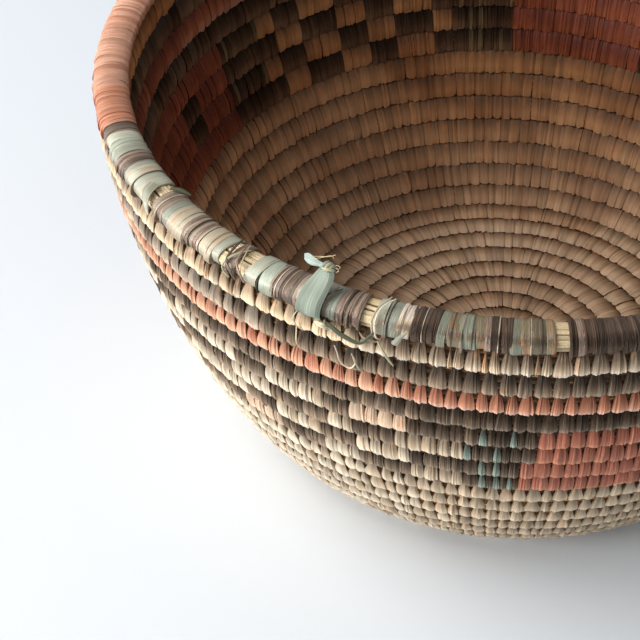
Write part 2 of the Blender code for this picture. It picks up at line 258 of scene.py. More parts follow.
# A turn of leaf round the rim: its points, the rim's section, how far it reaches over its
# neighbours and narrows at its seat, and how uneven it is
BINDING_STATIONS = 30
BINDING_COLUMNS = 7
BINDING_POWER = 2.3
BINDING_SEAM = 0.02
TURN_LEAF = 0.0004
TURN_LINING = 0.0002
TURN_REACH = 0.57
TURN_TUCK = 0.5
TURN_SPREAD = 0.5
TURN_SLANTS = (0.16, 0.10)
TURN_PLEAT = 0.00007
TURN_ROUGHNESS = 0.00002
TURN_TILT = 0.00008
TURN_CROWN = 0.00010
TURN_LIFTS = (-0.00010, 0.00020)
TURN_DROOP = 0.0003
DROOP_SPREAD = 0.00045
DROOP_ANGLE = 0.7

# Painted light on a turn: its light side takes the paler tip colour as painted highlight, and a band of
# painted shade runs along it, where the light from above gives way to the table's bounce. Where the band
# lies in angles round the rim's section, by degrees round the basket, its width, and how dark the leaf is
# beside it and in it; then painted shade at the turn's edges
SHADED_ANGLES = ((236.0, 254.0), (1.25, 2.2))
SHADED_WIDTH = 0.42
LIGHT_SIDE = 0.16
SHADED_DEPTH = 0.44
SEED_DRIFT = 0.004
EDGE_SHADE = 0.35
EDGE_FROM = 0.9

# Single threads over the bindings: degrees and dye
ACCENT_WIDTH = 0.11
ACCENT_WIDTHS = (0.7, 1.4)
ACCENT_LIFT = 0.00012
ACCENTS = [
    (253.7, "natural"), (257.1, "brown"), (258.3, "natural"), (259.4, "brown"), (262.4, "natural"),
    (263.9, "peach"), (266.1, "peach"), (267.4, "brown"), (249.6, "green"), (236.2, "natural"),
    (240.1, "natural"), (232.6, "green"), (224.4, "natural"), (220.9, "green"), (217.6, "peach"),
    (208.2, "fawn"), (200.7, "natural"), (214.3, "natural"), (218.8, "brown"), (222.9, "brown"),
    (235.1, "natural"), (237.0, "natural"), (243.7, "natural"), (245.1, "natural"), (244.4, "green"),
]

# The rim's straw, which shows between the bindings, and the dark core that it lies on, painted shade between
# the straws
STRAWS = 30
STRAW_SIDES = 6
STRAW_STATIONS = 361
STRAW_GAP = 0.1
STRAW_WANDER = 0.012
STRAW_WANDER_LIMIT = 0.1
STRAW_RADII = (0.00055, 0.00080)
STRAW_SPREAD = 0.04
STRAW_DEPTH = 0.0010
STRAW_SHADE = 0.2
STRAW_LENGTH = 40.0
CORE_SIDES = 24
CORE_SHADE = 0.6

# The loose pieces: lines given as degrees round the basket and metres up and out beside the
# rim's middle
SASH_LEFT = [
    (238.6, -0.0046, 0.0040), (238.3, -0.0030, 0.0066), (238.3, 0.0000, 0.0076), (238.5, 0.0036, 0.0056),
    (238.9, 0.0068, 0.0022), (239.6, 0.0100, 0.0004), (240.3, 0.0130, 0.0000), (240.9, 0.0138, 0.0000),
]
SASH_RIGHT = [
    (241.5, -0.0046, 0.0044), (241.6, -0.0030, 0.0068), (241.6, 0.0000, 0.0078), (241.6, 0.0036, 0.0062),
    (241.6, 0.0064, 0.0034), (241.7, 0.0092, 0.0012), (241.7, 0.0118, 0.0004), (241.2, 0.0130, 0.0004),
]
FOLD_LEFT = [
    (241.0, -0.0010, 0.0080), (241.1, 0.0030, 0.0074), (241.3, 0.0060, 0.0046), (241.5, 0.0090, 0.0022),
    (241.5, 0.0112, 0.0010), (241.2, 0.0124, 0.0006),
]
FOLD_RIGHT = [
    (241.5, -0.0010, 0.0080), (241.7, 0.0032, 0.0070), (241.9, 0.0064, 0.0040), (242.1, 0.0094, 0.0014),
    (242.0, 0.0118, 0.0004), (241.6, 0.0128, 0.0002),
]
TAIL_LOWER = [
    (241.0, 0.0128, 0.0008), (240.4, 0.0128, 0.0008), (239.9, 0.0128, 0.0010), (239.3, 0.0126, 0.0012),
    (238.6, 0.0128, 0.0012), (238.1, 0.0136, 0.0010),
]
TAIL_UPPER = [
    (241.0, 0.0140, 0.0000), (240.4, 0.0138, -0.0002), (239.9, 0.0138, -0.0004), (239.2, 0.0146, -0.0004),
    (238.4, 0.0154, -0.0004), (237.9, 0.0152, 0.0002),
]
KNOT_LOOPS = [
    [(240.5, 0.0124, 0.0012), (240.7, 0.0142, 0.0010), (241.1, 0.0146, -0.0004), (241.3, 0.0130, -0.0012)],
    [(240.9, 0.0122, 0.0014), (241.1, 0.0140, 0.0012), (241.5, 0.0144, -0.0002), (241.8, 0.0130, -0.0010)],
    [(241.2, 0.0120, 0.0014), (241.5, 0.0136, 0.0012), (241.9, 0.0140, 0.0000), (242.1, 0.0126, -0.0008)],
    [(240.6, 0.0132, 0.0014), (241.2, 0.0136, 0.0018), (241.8, 0.0134, 0.0012), (242.1, 0.0128, 0.0004)],
]
FRAYED_LINES = [
    [(238.9, 0.0150, 0.0000), (239.8, 0.0152, -0.0010), (240.9, 0.0160, -0.0014), (241.9, 0.0178, -0.0012)],
    [(239.4, 0.0146, 0.0000), (240.6, 0.0162, -0.0006), (241.4, 0.0170, -0.0010), (241.7, 0.0160, -0.0010)],
    [(241.8, 0.0134, 0.0004), (242.3, 0.0136, 0.0000), (242.5, 0.0128, 0.0000), (242.2, 0.0120, 0.0002)],
    [(241.7, 0.0138, 0.0004), (242.2, 0.0144, -0.0004), (242.6, 0.0140, -0.0006), (242.5, 0.0132, -0.0004)],
]
LOOSE_LOWER = [
    (242.2, -0.0030, 0.0078), (243.1, -0.0034, 0.0084), (244.1, -0.0049, 0.0086), (245.2, -0.0060, 0.0086),
    (246.3, -0.0064, 0.0086), (247.1, -0.0054, 0.0086), (247.8, -0.0026, 0.0084), (248.3, -0.0004, 0.0082),
]
LOOSE_UPPER = [
    (242.4, -0.0016, 0.0078), (243.3, -0.0013, 0.0088), (244.3, -0.0022, 0.0094), (245.3, -0.0034, 0.0094),
    (246.3, -0.0046, 0.0092), (247.0, -0.0044, 0.0088), (247.6, -0.0021, 0.0086), (248.2, 0.0000, 0.0084),
]
TIP_LOWER = [
    (250.9, -0.0044, 0.0070), (251.1, -0.0030, 0.0082), (251.5, -0.0008, 0.0086), (252.3, 0.0026, 0.0078),
]
TIP_UPPER = [
    (250.3, -0.0036, 0.0072), (250.5, -0.0014, 0.0086), (251.1, 0.0004, 0.0090), (252.2, 0.0030, 0.0078),
]
TORN_LEFT = [
    (210.2, 0.0046, 0.0020), (210.7, 0.0036, 0.0054), (211.8, 0.0014, 0.0072), (213.0, -0.0016, 0.0076),
]
TORN_RIGHT = [
    (211.7, 0.0050, 0.0008), (212.3, 0.0042, 0.0048), (212.9, 0.0020, 0.0070), (213.3, -0.0012, 0.0076),
]
# Stray fibres: each line's points, its thickness and its dye
STRAY_LINES = [
    ([(226.9, 0.0040, -0.0050), (227.5, 0.0053, 0.0000), (227.7, 0.0044, 0.0044), (228.0, 0.0027, 0.0066),
      (228.9, 0.0005, 0.0074), (229.5, -0.0020, 0.0070)], 0.0010, "brown"),
    ([(228.2, 0.0043, -0.0044), (228.8, 0.0053, 0.0010), (229.2, 0.0038, 0.0052), (230.1, 0.0018, 0.0070),
      (230.9, -0.0006, 0.0073)], 0.0009, "brown"),
    ([(229.5, 0.0050, -0.0010), (228.6, 0.0050, 0.0030), (227.8, 0.0032, 0.0062), (227.6, 0.0006, 0.0075),
      (228.4, -0.0022, 0.0070)], 0.0008, "straw_green"),
    ([(228.6, 0.0048, -0.0030), (229.4, 0.0052, 0.0014), (229.9, 0.0036, 0.0054), (230.4, 0.0008, 0.0073)],
     0.0005, "pale_straw"),
    ([(212.9, 0.0048, -0.0016), (213.7, 0.0044, -0.0044), (214.9, 0.0030, -0.0066)], 0.0014, "green"),
    ([(243.3, -0.0110, 0.0080), (243.6, -0.0140, 0.0080), (243.7, -0.0175, 0.0077), (244.2, -0.0200, 0.0074),
      (245.1, -0.0205, 0.0073), (245.8, -0.0165, 0.0076), (245.5, -0.0125, 0.0081)], 0.0006, "natural"),
    ([(245.5, -0.0120, 0.0081), (245.8, -0.0165, 0.0078), (246.3, -0.0205, 0.0072)], 0.0005, "straw_green"),
    ([(238.7, -0.0010, 0.0084), (238.0, -0.0052, 0.0080), (238.2, -0.0084, 0.0076), (238.9, -0.0110, 0.0066)],
     0.0005, "natural"),
    ([(238.4, -0.0072, 0.0078), (238.1, -0.0120, 0.0074), (237.8, -0.0170, 0.0070), (237.7, -0.0198, 0.0064)],
     0.0005, "pale_straw"),
    ([(249.3, 0.0075, -0.0010), (248.2, 0.0056, 0.0030), (247.9, 0.0030, 0.0070), (248.2, -0.0015, 0.0078),
      (248.8, -0.0042, 0.0064)], 0.0007, "straw_green"),
    ([(249.8, 0.0070, -0.0010), (248.6, 0.0058, 0.0028), (248.3, 0.0032, 0.0070), (248.5, -0.0014, 0.0080),
      (248.9, -0.0042, 0.0064)], 0.0006, "natural"),
    ([(248.7, -0.0036, 0.0078), (249.3, -0.0066, 0.0082), (249.9, -0.0100, 0.0080), (250.5, -0.0136, 0.0074)],
     0.0009, "straw_green"),
    ([(246.2, -0.0036, 0.0060), (246.9, -0.0044, 0.0072), (247.8, -0.0048, 0.0074), (248.6, -0.0050, 0.0068)],
     0.0008, "charcoal"),
    ([(240.9, -0.0040, 0.0070), (241.6, -0.0028, 0.0084), (242.2, -0.0024, 0.0088), (242.7, -0.0036, 0.0080)],
     0.0014, "straw_green"),
    ([(240.6, -0.0046, 0.0066), (241.4, -0.0040, 0.0080), (242.1, -0.0044, 0.0080), (242.5, -0.0060, 0.0070)],
     0.0009, "natural"),
    ([(241.5, 0.0046, 0.0040), (241.9, 0.0052, 0.0030), (242.5, 0.0054, 0.0010), (242.9, 0.0050, -0.0010)],
     0.0005, "brown"),
    ([(241.7, 0.0030, 0.0060), (242.0, 0.0048, 0.0040), (242.3, 0.0056, 0.0012), (242.4, 0.0052, -0.0012)],
     0.0005, "brown"),
]
KNOT_STRAND = 0.0012
FRAYED_FIBRE = 0.00028
FIBRE_SIDES = 6
FIBRE_POINTS = 28
FIBRE_ENDS = (0.06, 0.90)
FIBRE_TIP = 0.35
FIBRE_SHADE = 0.15
FIBRE_UPRIGHT = (0.13, 0.31, 0.94)

# Free strips of leaf: piece, its edges, thickness, bow as a share of its width, finish, slot, points
# along and across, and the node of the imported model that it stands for
KNOTTED_LEAVES = [
    ("knotted_leaf", SASH_LEFT, SASH_RIGHT, 0.0004, 0.05, "knotted_leaf", "sage_leaf", 40, 9, ["knot_tail"]),
    ("knotted_leaf_fold", FOLD_LEFT, FOLD_RIGHT, 0.0004, 0.08, "shaded_folded_leaf", "sage_leaf", 40, 9, []),
    ("knot_end", TAIL_LOWER, TAIL_UPPER, 0.0004, 0.18, "knot_end", "sage_leaf", 40, 9, []),
]
LOOSE_LEAVES = [
    ("loose_leaf", LOOSE_LOWER, LOOSE_UPPER, 0.0004, 0.12, "green", "green_leaf", 40, 9, ["loose_strip"]),
    ("leaf_tip", TIP_LOWER, TIP_UPPER, 0.0003, 0.12, "sage", "sage_leaf", 20, 5, []),
    ("torn_leaf", TORN_LEFT, TORN_RIGHT, 0.0003, 0.06, "sage", "sage_leaf", 20, 9, []),
]
FREE_PLEAT = 0.02
FREE_ROUGHNESS = 0.006
FREE_SHADES = (0.3, 0.8)
FREE_ALONG = (0.50, 0.16)

# What the leaf finish takes, and the darkening inside the bowl, partly the leaf's age and partly painted
# shade: a colour that multiplies the leaf's
LEAF_COLOURS = ("Leaf", "Groove Shade", "Tip", "Vein", "Stain", "Age And Shade")
LEAF_AMOUNTS = ("Vein Amount", "Stain Amount", "Unevenness", "Fibres", "Dullness")
WHITE = (1.0, 1.0, 1.0)
AGE_AND_SHADE = (0.63, 0.38, 0.22)
RED_AGE_AND_SHADE = (0.50, 0.34, 0.26)
DARK_AGE_AND_SHADE = (0.50, 0.38, 0.30)
FADED_AGE_AND_SHADE = (0.30, 0.22, 0.17)
APRICOT_AGE_AND_SHADE = (0.38, 0.20, 0.15)
# Lightens the grass's inner side and the rim's core, where their painted shade is less deep
BUNDLE_INSIDE_LIFT = (3.0, 2.4, 1.8)
WORN = (0.66, 0.58, 0.54)
WORN_PATCHES = 30.0
RELIEF_DEPTH = 0.0004

# Sheens, as a specular level and a share of the leaf's roughness
DULL = (0.25, 1.0)
MATT = (0.10, 1.0)
SILKY = (0.65, 0.62)

# The studio: the camera at the photo's angle, and each lamp's place, aim and size
CAMERA_PLACE = (-0.0750, -0.6346, 0.5892)
CAMERA_TILT = 48.36
SENSOR_WIDTH = 36.0
CAMERA_REACH = (0.05, 20.0)
WINDOW_LAMP = ((-1.0, -0.15, 1.30), (0.0, 0.0, 0.1), 1.1)
FILL_LAMP = ((-1.5, -0.6, 0.40), (0.0, 0.0, 0.08), 0.8)
TABLE_RADIUS = 4.0
TABLE_CORNERS = 96
TABLE_ROUGHNESS = 0.9
TABLE_SHEEN = 0.1


def leaf_colour(red, green, blue):
    """A colour as it is seen on a screen, 0 to 255, in the linear values that shaders take."""
    share = np.array([red, green, blue]) / 255.0
    linear = np.where(share <= 0.04045, share / 12.92, ((share + 0.055) / 1.055) ** 2.4)
    return tuple(linear.tolist())


# Colours that several finishes share
ORANGE = leaf_colour(206, 128, 66)
PALE = leaf_colour(240, 228, 208)
RUST = leaf_colour(170, 86, 50)
UMBER = leaf_colour(92, 64, 38)
SHADOW = leaf_colour(38, 30, 24)


def colour_property(name, description, shade):
    return FloatVectorProperty(
        name=name, description=description, subtype="COLOR", size=3, min=0.0, max=1.0,
        default=leaf_colour(*shade),
    )


def length_property(name, description, default):
    return FloatProperty(name=name, description=description, default=default, unit="LENGTH", precision=4)


class BasketSizes(bpy.types.PropertyGroup):
    """Sizes of the basket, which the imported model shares."""

    rim_radius: length_property("Rim radius", "From the basket's middle to the middle of its rim", 0.150)
    wall_height: length_property("Wall height", "Height of the wall's line under the rim", 0.1458)
    base_radius: length_property("Base radius", "From the middle to where the wall starts to rise", 0.0863)
    round_thickness: length_property("Round thickness", "A sewn round across the wall", 0.0098)
    round_gap: length_property("Round gap", "Between neighbouring rounds' sleeves", 0.0005)
    button_radius: length_property("Button radius", "The knot in the middle of the base", 0.0060)
    rim_width: length_property("Rim width", "The bound rim across the wall", 0.0132)
    rim_height: length_property("Rim height", "The bound rim from below to above", 0.0090)
    wrap_leaf: length_property("Binding leaf", "The space that the leaf round the rim takes", 0.0009)
    rim_taper: FloatProperty(
        name="Rim taper", description="How far the coil's end thins out, in degrees", default=45.0,
    )
    rim_tip: FloatProperty(name="Rim tip", description="The thin end's share of the full rim", default=0.35)


class LeafDyes(bpy.types.PropertyGroup):
    """Colours of leaf, straw and grass."""

    natural: colour_property("Natural", "Undyed leaf", (222, 198, 166))
    peach: colour_property("Peach", "Undyed leaf with an orange tint", (236, 204, 172))
    charcoal: colour_property("Charcoal", "Darkest leaf", (114, 97, 81))
    cream: colour_property("Cream", "Yellower undyed leaf of the first round", (243, 214, 174))
    # Lighter on the lit side, partly by bleaching and partly as painted light
    bleached: colour_property("Bleached", "Undyed leaf that the light has bleached", (252, 233, 203))
    sand: colour_property("Sand", "Undyed leaf of the lower rounds", (220, 197, 165))
    # Smoke also takes charcoal's place on the lit side, partly by fading and partly as painted light
    smoke: colour_property("Smoke", "Leaf of the second round, and faded charcoal", (156, 132, 109))
    taupe: colour_property("Taupe", "Dark leaf that has faded to brown", (184, 164, 141))
    coral: colour_property("Coral", "Faded red leaf", (224, 158, 124))
    # Lighter on the lit side, partly by bleaching and partly as painted light
    apricot: colour_property("Apricot", "Red leaf that the light has bleached", (238, 182, 146))
    brick: colour_property("Brick", "Red leaf of the pattern", (186, 118, 92))
    red: colour_property("Red", "Red leaf that kept its dye", (196, 104, 78))
    teal: colour_property("Teal", "Blue green leaf of the pattern", (154, 166, 150))
    coral_rim: colour_property("Coral rim", "Faded red leaf round the rim", (204, 146, 117))
    sage: colour_property("Sage", "Grey green leaf round the rim", (156, 154, 134))
    mint: colour_property("Mint", "Greener leaf round the rim", (144, 148, 130))
    dun: colour_property("Dun", "Sage leaf that has faded to beige", (176, 160, 134))
    fawn: colour_property("Fawn", "Brown leaf that has faded", (146, 124, 104))
    olive: colour_property("Olive", "Sage leaf that has browned", (122, 108, 82))
    moss: colour_property("Moss", "Sage leaf that kept more green", (118, 121, 103))
    umber: colour_property("Umber", "Darker brown leaf round the rim", (80, 58, 40))
    knotted: colour_property("Knotted leaf", "The broad leaf tied over the rim", (136, 146, 131))
    brown: colour_property("Brown", "Brown leaf round the rim", (124, 98, 77))
    green: colour_property("Green", "The loose dark strip", (76, 80, 58))
    straw: colour_property("Straw", "The rim's straw", (214, 194, 156))
    # The grass's dark brown is painted shade for the gaps between stitches; its pale stalks are the finish's
    # veins
    grass: colour_property("Grass", "The coil's bundle", (66, 45, 28))


class StudioSettings(bpy.types.PropertyGroup):
    """Camera, lights and floor."""

    lens: FloatProperty(name="Lens", description="Focal length in millimetres", default=119.52)
    window_power: FloatProperty(name="Window", description="Watts of the large soft lamp", default=16.0)
    fill_power: FloatProperty(name="Fill", description="Watts of the low lamp on the left", default=27.0)
    sky: FloatProperty(name="Sky", description="Strength of the even light all round", default=0.36)
    floor: colour_property("Floor", "The pale table", (228, 234, 240))


# Geometry of the coil


def pressed(height):
    """Heights over the table: what lies lower is pressed flat on it, and keeps its order."""
    flat = PRESSED_UP_TO * np.exp(np.minimum(height / PRESSED_UP_TO, 1.0) - 1.0)
    return np.where(height < PRESSED_UP_TO, flat, height)


class Coil:
    """The spiral line of the basket, read at any turn counted from the button."""

    def __init__(self, sizes):
        self.sizes = sizes
        self.half = sizes.round_thickness / 2
        self.lean_in = sizes.rim_width / 2 - sizes.wrap_leaf - self.half
        rise = np.linspace(0.0, 1.0, PROFILE_SAMPLES) ** 2
        spread = sizes.rim_radius + self.lean_in - sizes.base_radius
        radius = sizes.base_radius + spread * (1 - (1 - rise) ** RISE_POWER) ** BELLY_POWER
        self.radius = np.concatenate([[0.0], radius])
        self.height = np.concatenate([[0.0], sizes.wall_height * rise])
        steps = np.hypot(np.diff(self.radius), np.diff(self.height))
        self.length = np.concatenate([[0.0], np.cumsum(steps)])
        self.whole = self.length[-1]
        sewn = self.whole - sizes.rim_height / 2 - sizes.button_radius - sizes.round_gap
        self.pitch = sewn / (COIL_TURNS + 0.5)
        self.round_height = self.pitch - sizes.round_gap
        self.start = sizes.button_radius + sizes.round_gap + self.round_height / 2

    def line(self, along):
        """Radius, height and slope at lengths along the bowl's line, which goes straight up past its end."""
        over = np.maximum(0.0, along - self.whole)
        inside = np.minimum(along, self.whole)
        low = np.maximum(inside - self.pitch / 2, 0.0)
        high = np.minimum(inside + self.pitch / 2, self.whole)
        run = np.interp(high, self.length, self.radius) - np.interp(low, self.length, self.radius)
        rise = np.interp(high, self.length, self.height) - np.interp(low, self.length, self.height)
        run = np.where(over > 0, 0.0, run)
        rise = np.where(over > 0, 1.0, rise)
        size = np.hypot(run, rise)
        radius = np.interp(inside, self.length, self.radius)
        height = np.interp(inside, self.length, self.height) + over
        return radius, height, run / size, rise / size

    def place(self, turn, up, out):
        """Points beside the coil's middle: up the wall and out of the bowl, both in metres."""
        turn, up, out = np.broadcast_arrays(turn, up, out)
        radius, height, run, rise = self.line(self.start + self.pitch * turn + up)
        angle = math.radians(SEAM_DEGREES) + math.tau * turn
        reach = radius + out * rise
        tall = height + self.half - out * run
        return np.stack([reach * np.cos(angle), reach * np.sin(angle), pressed(tall)], axis=-1)

    def snug(self, turn):
        """How much higher the upper rounds sit than an even pitch puts them."""
        share = np.clip((turn - SNUG_TURNS[0]) / (SNUG_TURNS[1] - SNUG_TURNS[0]), 0.0, 1.0)
        return SNUG_RISE * share

    def radius_at(self, turn):
        return float(np.interp(self.start + self.pitch * turn, self.length, self.radius))

    def rim_scale(self, degrees):
        """How full the rim is: it thins out to a tip where the coil ends."""
        left = SEAM_DEGREES + 360.0 - degrees
        share = np.clip(left / self.sizes.rim_taper, 0.0, 1.0)
        return self.sizes.rim_tip + (1.0 - self.sizes.rim_tip) * share

    def rim_place(self, degrees, up, out):
        """Points round the rim's middle; up and out are metres on the full rim, and shrink with its tip."""
        degrees, up, out = np.broadcast_arrays(degrees, up, out)
        scale = self.rim_scale(degrees)
        turn = COIL_TURNS - 1 + (degrees - SEAM_DEGREES) / 360.0
        seat = self.round_height / 2 + self.sizes.round_gap + self.sizes.rim_height / 2 * scale
        return self.place(turn, seat + up * scale, out * scale - self.lean_in)


# Meshes


def signed_volume(points, corners):
    """Six times the volume inside flat faces that share a solid; negative when they face inwards."""
    total = 0.0
    for face in corners:
        a = points[face[0]]
        for second, third in zip(face[1:], face[2:]):
            total += float(np.dot(a, np.cross(points[second], points[third])))
    return total


def mesh_of_copies(name, points, corners, dyes, dye_of, marks):
    """One object of many like solids: points (copies, points, 3) and the faces of one of them."""
    copies, each, _ = points.shape
    middle = points[0].mean(axis=0)
    if signed_volume(points[0] - middle, corners) < 0:
        corners = [tuple(reversed(face)) for face in corners]
    flat = np.concatenate([np.array(face) for face in corners])
    sizes = np.array([len(face) for face in corners])
    loops = (flat[None, :] + each * np.arange(copies)[:, None]).ravel()
    starts = np.concatenate([[0], np.cumsum(np.tile(sizes, copies))[:-1]])
    mesh = bpy.data.meshes.new(name)
    mesh.vertices.add(copies * each)
    mesh.vertices.foreach_set("co", points.astype(np.float32).ravel())
    mesh.loops.add(len(loops))
    mesh.loops.foreach_set("vertex_index", loops.astype(np.int32))
    mesh.polygons.add(len(starts))
    mesh.polygons.foreach_set("loop_start", starts.astype(np.int32))
    mesh.polygons.foreach_set("material_index", np.repeat(dye_of, len(corners)).astype(np.int32))
    mesh.polygons.foreach_set("use_smooth", np.ones(len(starts), dtype=bool))
    for mark, values in marks.items():
        layer = mesh.attributes.new(mark, "FLOAT", "POINT")
        layer.data.foreach_set("value", values.astype(np.float32).ravel())
    mesh.update(calc_edges=True)
    for dye in dyes:
        mesh.materials.append(bpy.data.materials[dye])
    mesh.set_sharp_from_angle(angle=math.radians(SHARP_DEGREES))
    piece = bpy.data.objects.new(name, mesh)
    bpy.context.scene.collection.objects.link(piece)
    return piece


def strip_corners(along, across):
    """Faces of a thin closed strip: a grid in front, two columns of points at its back."""
    faces = []
    back = along * across
    for row in range(along - 1):
        here, there = row * across, (row + 1) * across
        for column in range(across - 1):
            faces.append((here + column, here + column + 1, there + column + 1, there + column))
        near, far = back + 2 * row, back + 2 * (row + 1)
        faces.append((near + 1, near, far, far + 1))
        faces.append((near, here, there, far))
        faces.append((here + across - 1, near + 1, far + 1, there + across - 1))
    last = (along - 1) * across
    faces.append((back, back + 1, *range(across - 1, -1, -1)))
    end = back + 2 * (along - 1)
    faces.append((end + 1, end, *range(last, last + across)))
    return faces


def make_strips(name, front, back, dyes, dye_of, marks):
    """Thin closed strips of leaf: front (strips, along, across, 3), back (strips, along, 2, 3)."""
    count, along, across, _ = front.shape
    points = np.concatenate([front.reshape(count, -1, 3), back.reshape(count, -1, 3)], axis=1)
    spread = {}
    for mark, values in marks.items():
        values = np.broadcast_to(values, (count, along, across))
        edges = values[:, :, [0, -1]]
        spread[mark] = np.concatenate([values.reshape(count, -1), edges.reshape(count, -1)], axis=1)
    return mesh_of_copies(name, points, strip_corners(along, across), dyes, dye_of, spread)


def make_tubes(name, rings, dyes, dye_of, marks):
    """Closed tubes: rings (tubes, along, round, 3)."""
    count, along, sides, _ = rings.shape
    faces = []
    for here in range(0, (along - 1) * sides, sides):
        there = here + sides
        for side in range(sides):
            after = (side + 1) % sides
            faces.append((here + side, here + after, there + after, there + side))
    faces.append(tuple(range(sides - 1, -1, -1)))
    faces.append(tuple(range((along - 1) * sides, along * sides)))
    spread = {mark: np.broadcast_to(values, (count, along, sides)) for mark, values in marks.items()}
    return mesh_of_copies(name, rings.reshape(count, -1, 3), faces, dyes, dye_of, spread)


def leaf_marks(across, along, seed, shade, crease_shade=0.0, inside=0.0):
    """What the finish of leaf reads at each point of a mesh."""
    return {
        "leaf_across": across, "leaf_along": along, "leaf_seed": seed, "leaf_shade": shade,
        "leaf_crease_shade": crease_shade, "leaf_inside": inside,
    }


def smooth_line(points, count):
    """A smooth line through given points, as count points."""
    points = np.array(points, dtype=float)
    place = np.linspace(0, len(points) - 1, count)
    first = np.clip(place.astype(int), 0, len(points) - 2)
    share = (place - first)[:, None]
    before, here = points[np.maximum(first - 1, 0)], points[first]
    there, after = points[first + 1], points[np.minimum(first + 2, len(points) - 1)]
    bend = (2 * before - 5 * here + 4 * there - after) * share**2
    twist = (3 * here - 3 * there + after - before) * share**3
    return 0.5 * (2 * here + (there - before) * share + bend + twist)


def unit(vectors):
    return vectors / np.maximum(np.linalg.norm(vectors, axis=-1, keepdims=True), 1e-9)


def loose_leaf(name, coil, left, right, leaf, bow, dye, count, columns, rng):
    """A free strip of leaf between two edges, given as degrees, up and out beside the rim."""
    edges = [coil.rim_place(*smooth_line(side, count).T) for side in (left, right)]
    across = np.linspace(-1.0, 1.0, columns)
    share = ((across + 1) / 2)[None, :, None]
    flat = edges[0][:, None] * (1 - share) + edges[1][:, None] * share
    facing = unit(np.cross(np.gradient((edges[0] + edges[1]) / 2, axis=0), edges[1] - edges[0]))[:, None]
    width = np.linalg.norm(edges[1] - edges[0], axis=-1)[:, None, None]
    pleats = rng.normal(0.0, FREE_PLEAT, (1, columns, 1))
    pleats = pleats + rng.normal(0.0, FREE_ROUGHNESS, (count, columns, 1))
    lift = width * (bow * (1 - across**2)[None, :, None] + pleats) + leaf / 2
    front = flat + facing * lift
    back = flat[:, [0, -1]] - facing * leaf / 2
    marks = leaf_marks(
        across[None, None, :], np.linspace(*FREE_ALONG, count)[None, :, None],
        rng.uniform(0, 1, (1, 1, 1)), rng.uniform(*FREE_SHADES, (1, 1, columns)),
    )
    return make_strips(name, front[None], back[None], [dye], np.zeros(1), marks)


def fibres(name, coil, lines, thicknesses, dyes, dye_of, rng):
    """Round fibres along smooth lines beside the rim, thinner at their ends."""
    around = math.tau * np.arange(FIBRE_SIDES)[None, :, None] / FIBRE_SIDES
    taper = FIBRE_TIP + (1 - FIBRE_TIP) * np.sin(math.pi * np.linspace(*FIBRE_ENDS, FIBRE_POINTS))
    rings = []
    for line, thick in zip(lines, thicknesses):
        middle = coil.rim_place(*smooth_line(line, FIBRE_POINTS).T)
        run = unit(np.gradient(middle, axis=0))
        side = unit(np.cross(run, np.array(FIBRE_UPRIGHT)))
        other = np.cross(run, side)
        ring = np.cos(around) * side[:, None] + np.sin(around) * other[:, None]
        rings.append(middle[:, None] + ring * taper[:, None, None] * thick / 2)
    each = (len(lines), 1, 1)
    marks = leaf_marks(
        np.cos(around)[:, :, 0][None], FIBRE_SHADE, rng.uniform(0, 1, each), rng.uniform(0, 1, each),
    )
    return make_tubes(name, np.array(rings), dyes, dye_of, marks)


def settle(piece, slot, *nodes):
    """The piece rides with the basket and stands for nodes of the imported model."""
    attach(piece, "root")
    if nodes:
        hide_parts(*nodes)


# Stitches


def stitch_spots(first, last, count, rng):
    """Middles and half widths, in turns, of the stitches that fill a stretch of the coil."""
    common = np.random.default_rng(count).uniform(-SHARED_NUDGE, SHARED_NUDGE, count + 1)
    nudge = common + rng.uniform(-OWN_NUDGE, OWN_NUDGE, count + 1)
    nudge[[0, -1]] = 0.0
    edges = first + (last - first) * (np.arange(count + 1) + nudge) / count
    return (edges[1:] + edges[:-1]) / 2, np.diff(edges) / 2


def leaflets(across, count, rng):
    """Folds a stitch's strip into narrow leaflets: which one a column is in, and its place across it."""
    cuts = np.sort(rng.uniform(*CUT_RANGE, (count, LEAFLET_CUTS)), axis=1)
    which = (across[None, None, :] > cuts[:, :, None]).sum(axis=1)
    edges = np.concatenate([np.full((count, 1), -1.0), np.minimum(cuts, 1.0), np.ones((count, 1))], axis=1)
    left = np.take_along_axis(edges, which, axis=1)
    right = np.take_along_axis(edges, which + 1, axis=1)
    place = (across[None, :] - left) / np.maximum(right - left, LEAST_LEAFLET)
    return which, np.clip(place, 0.0, 1.0)


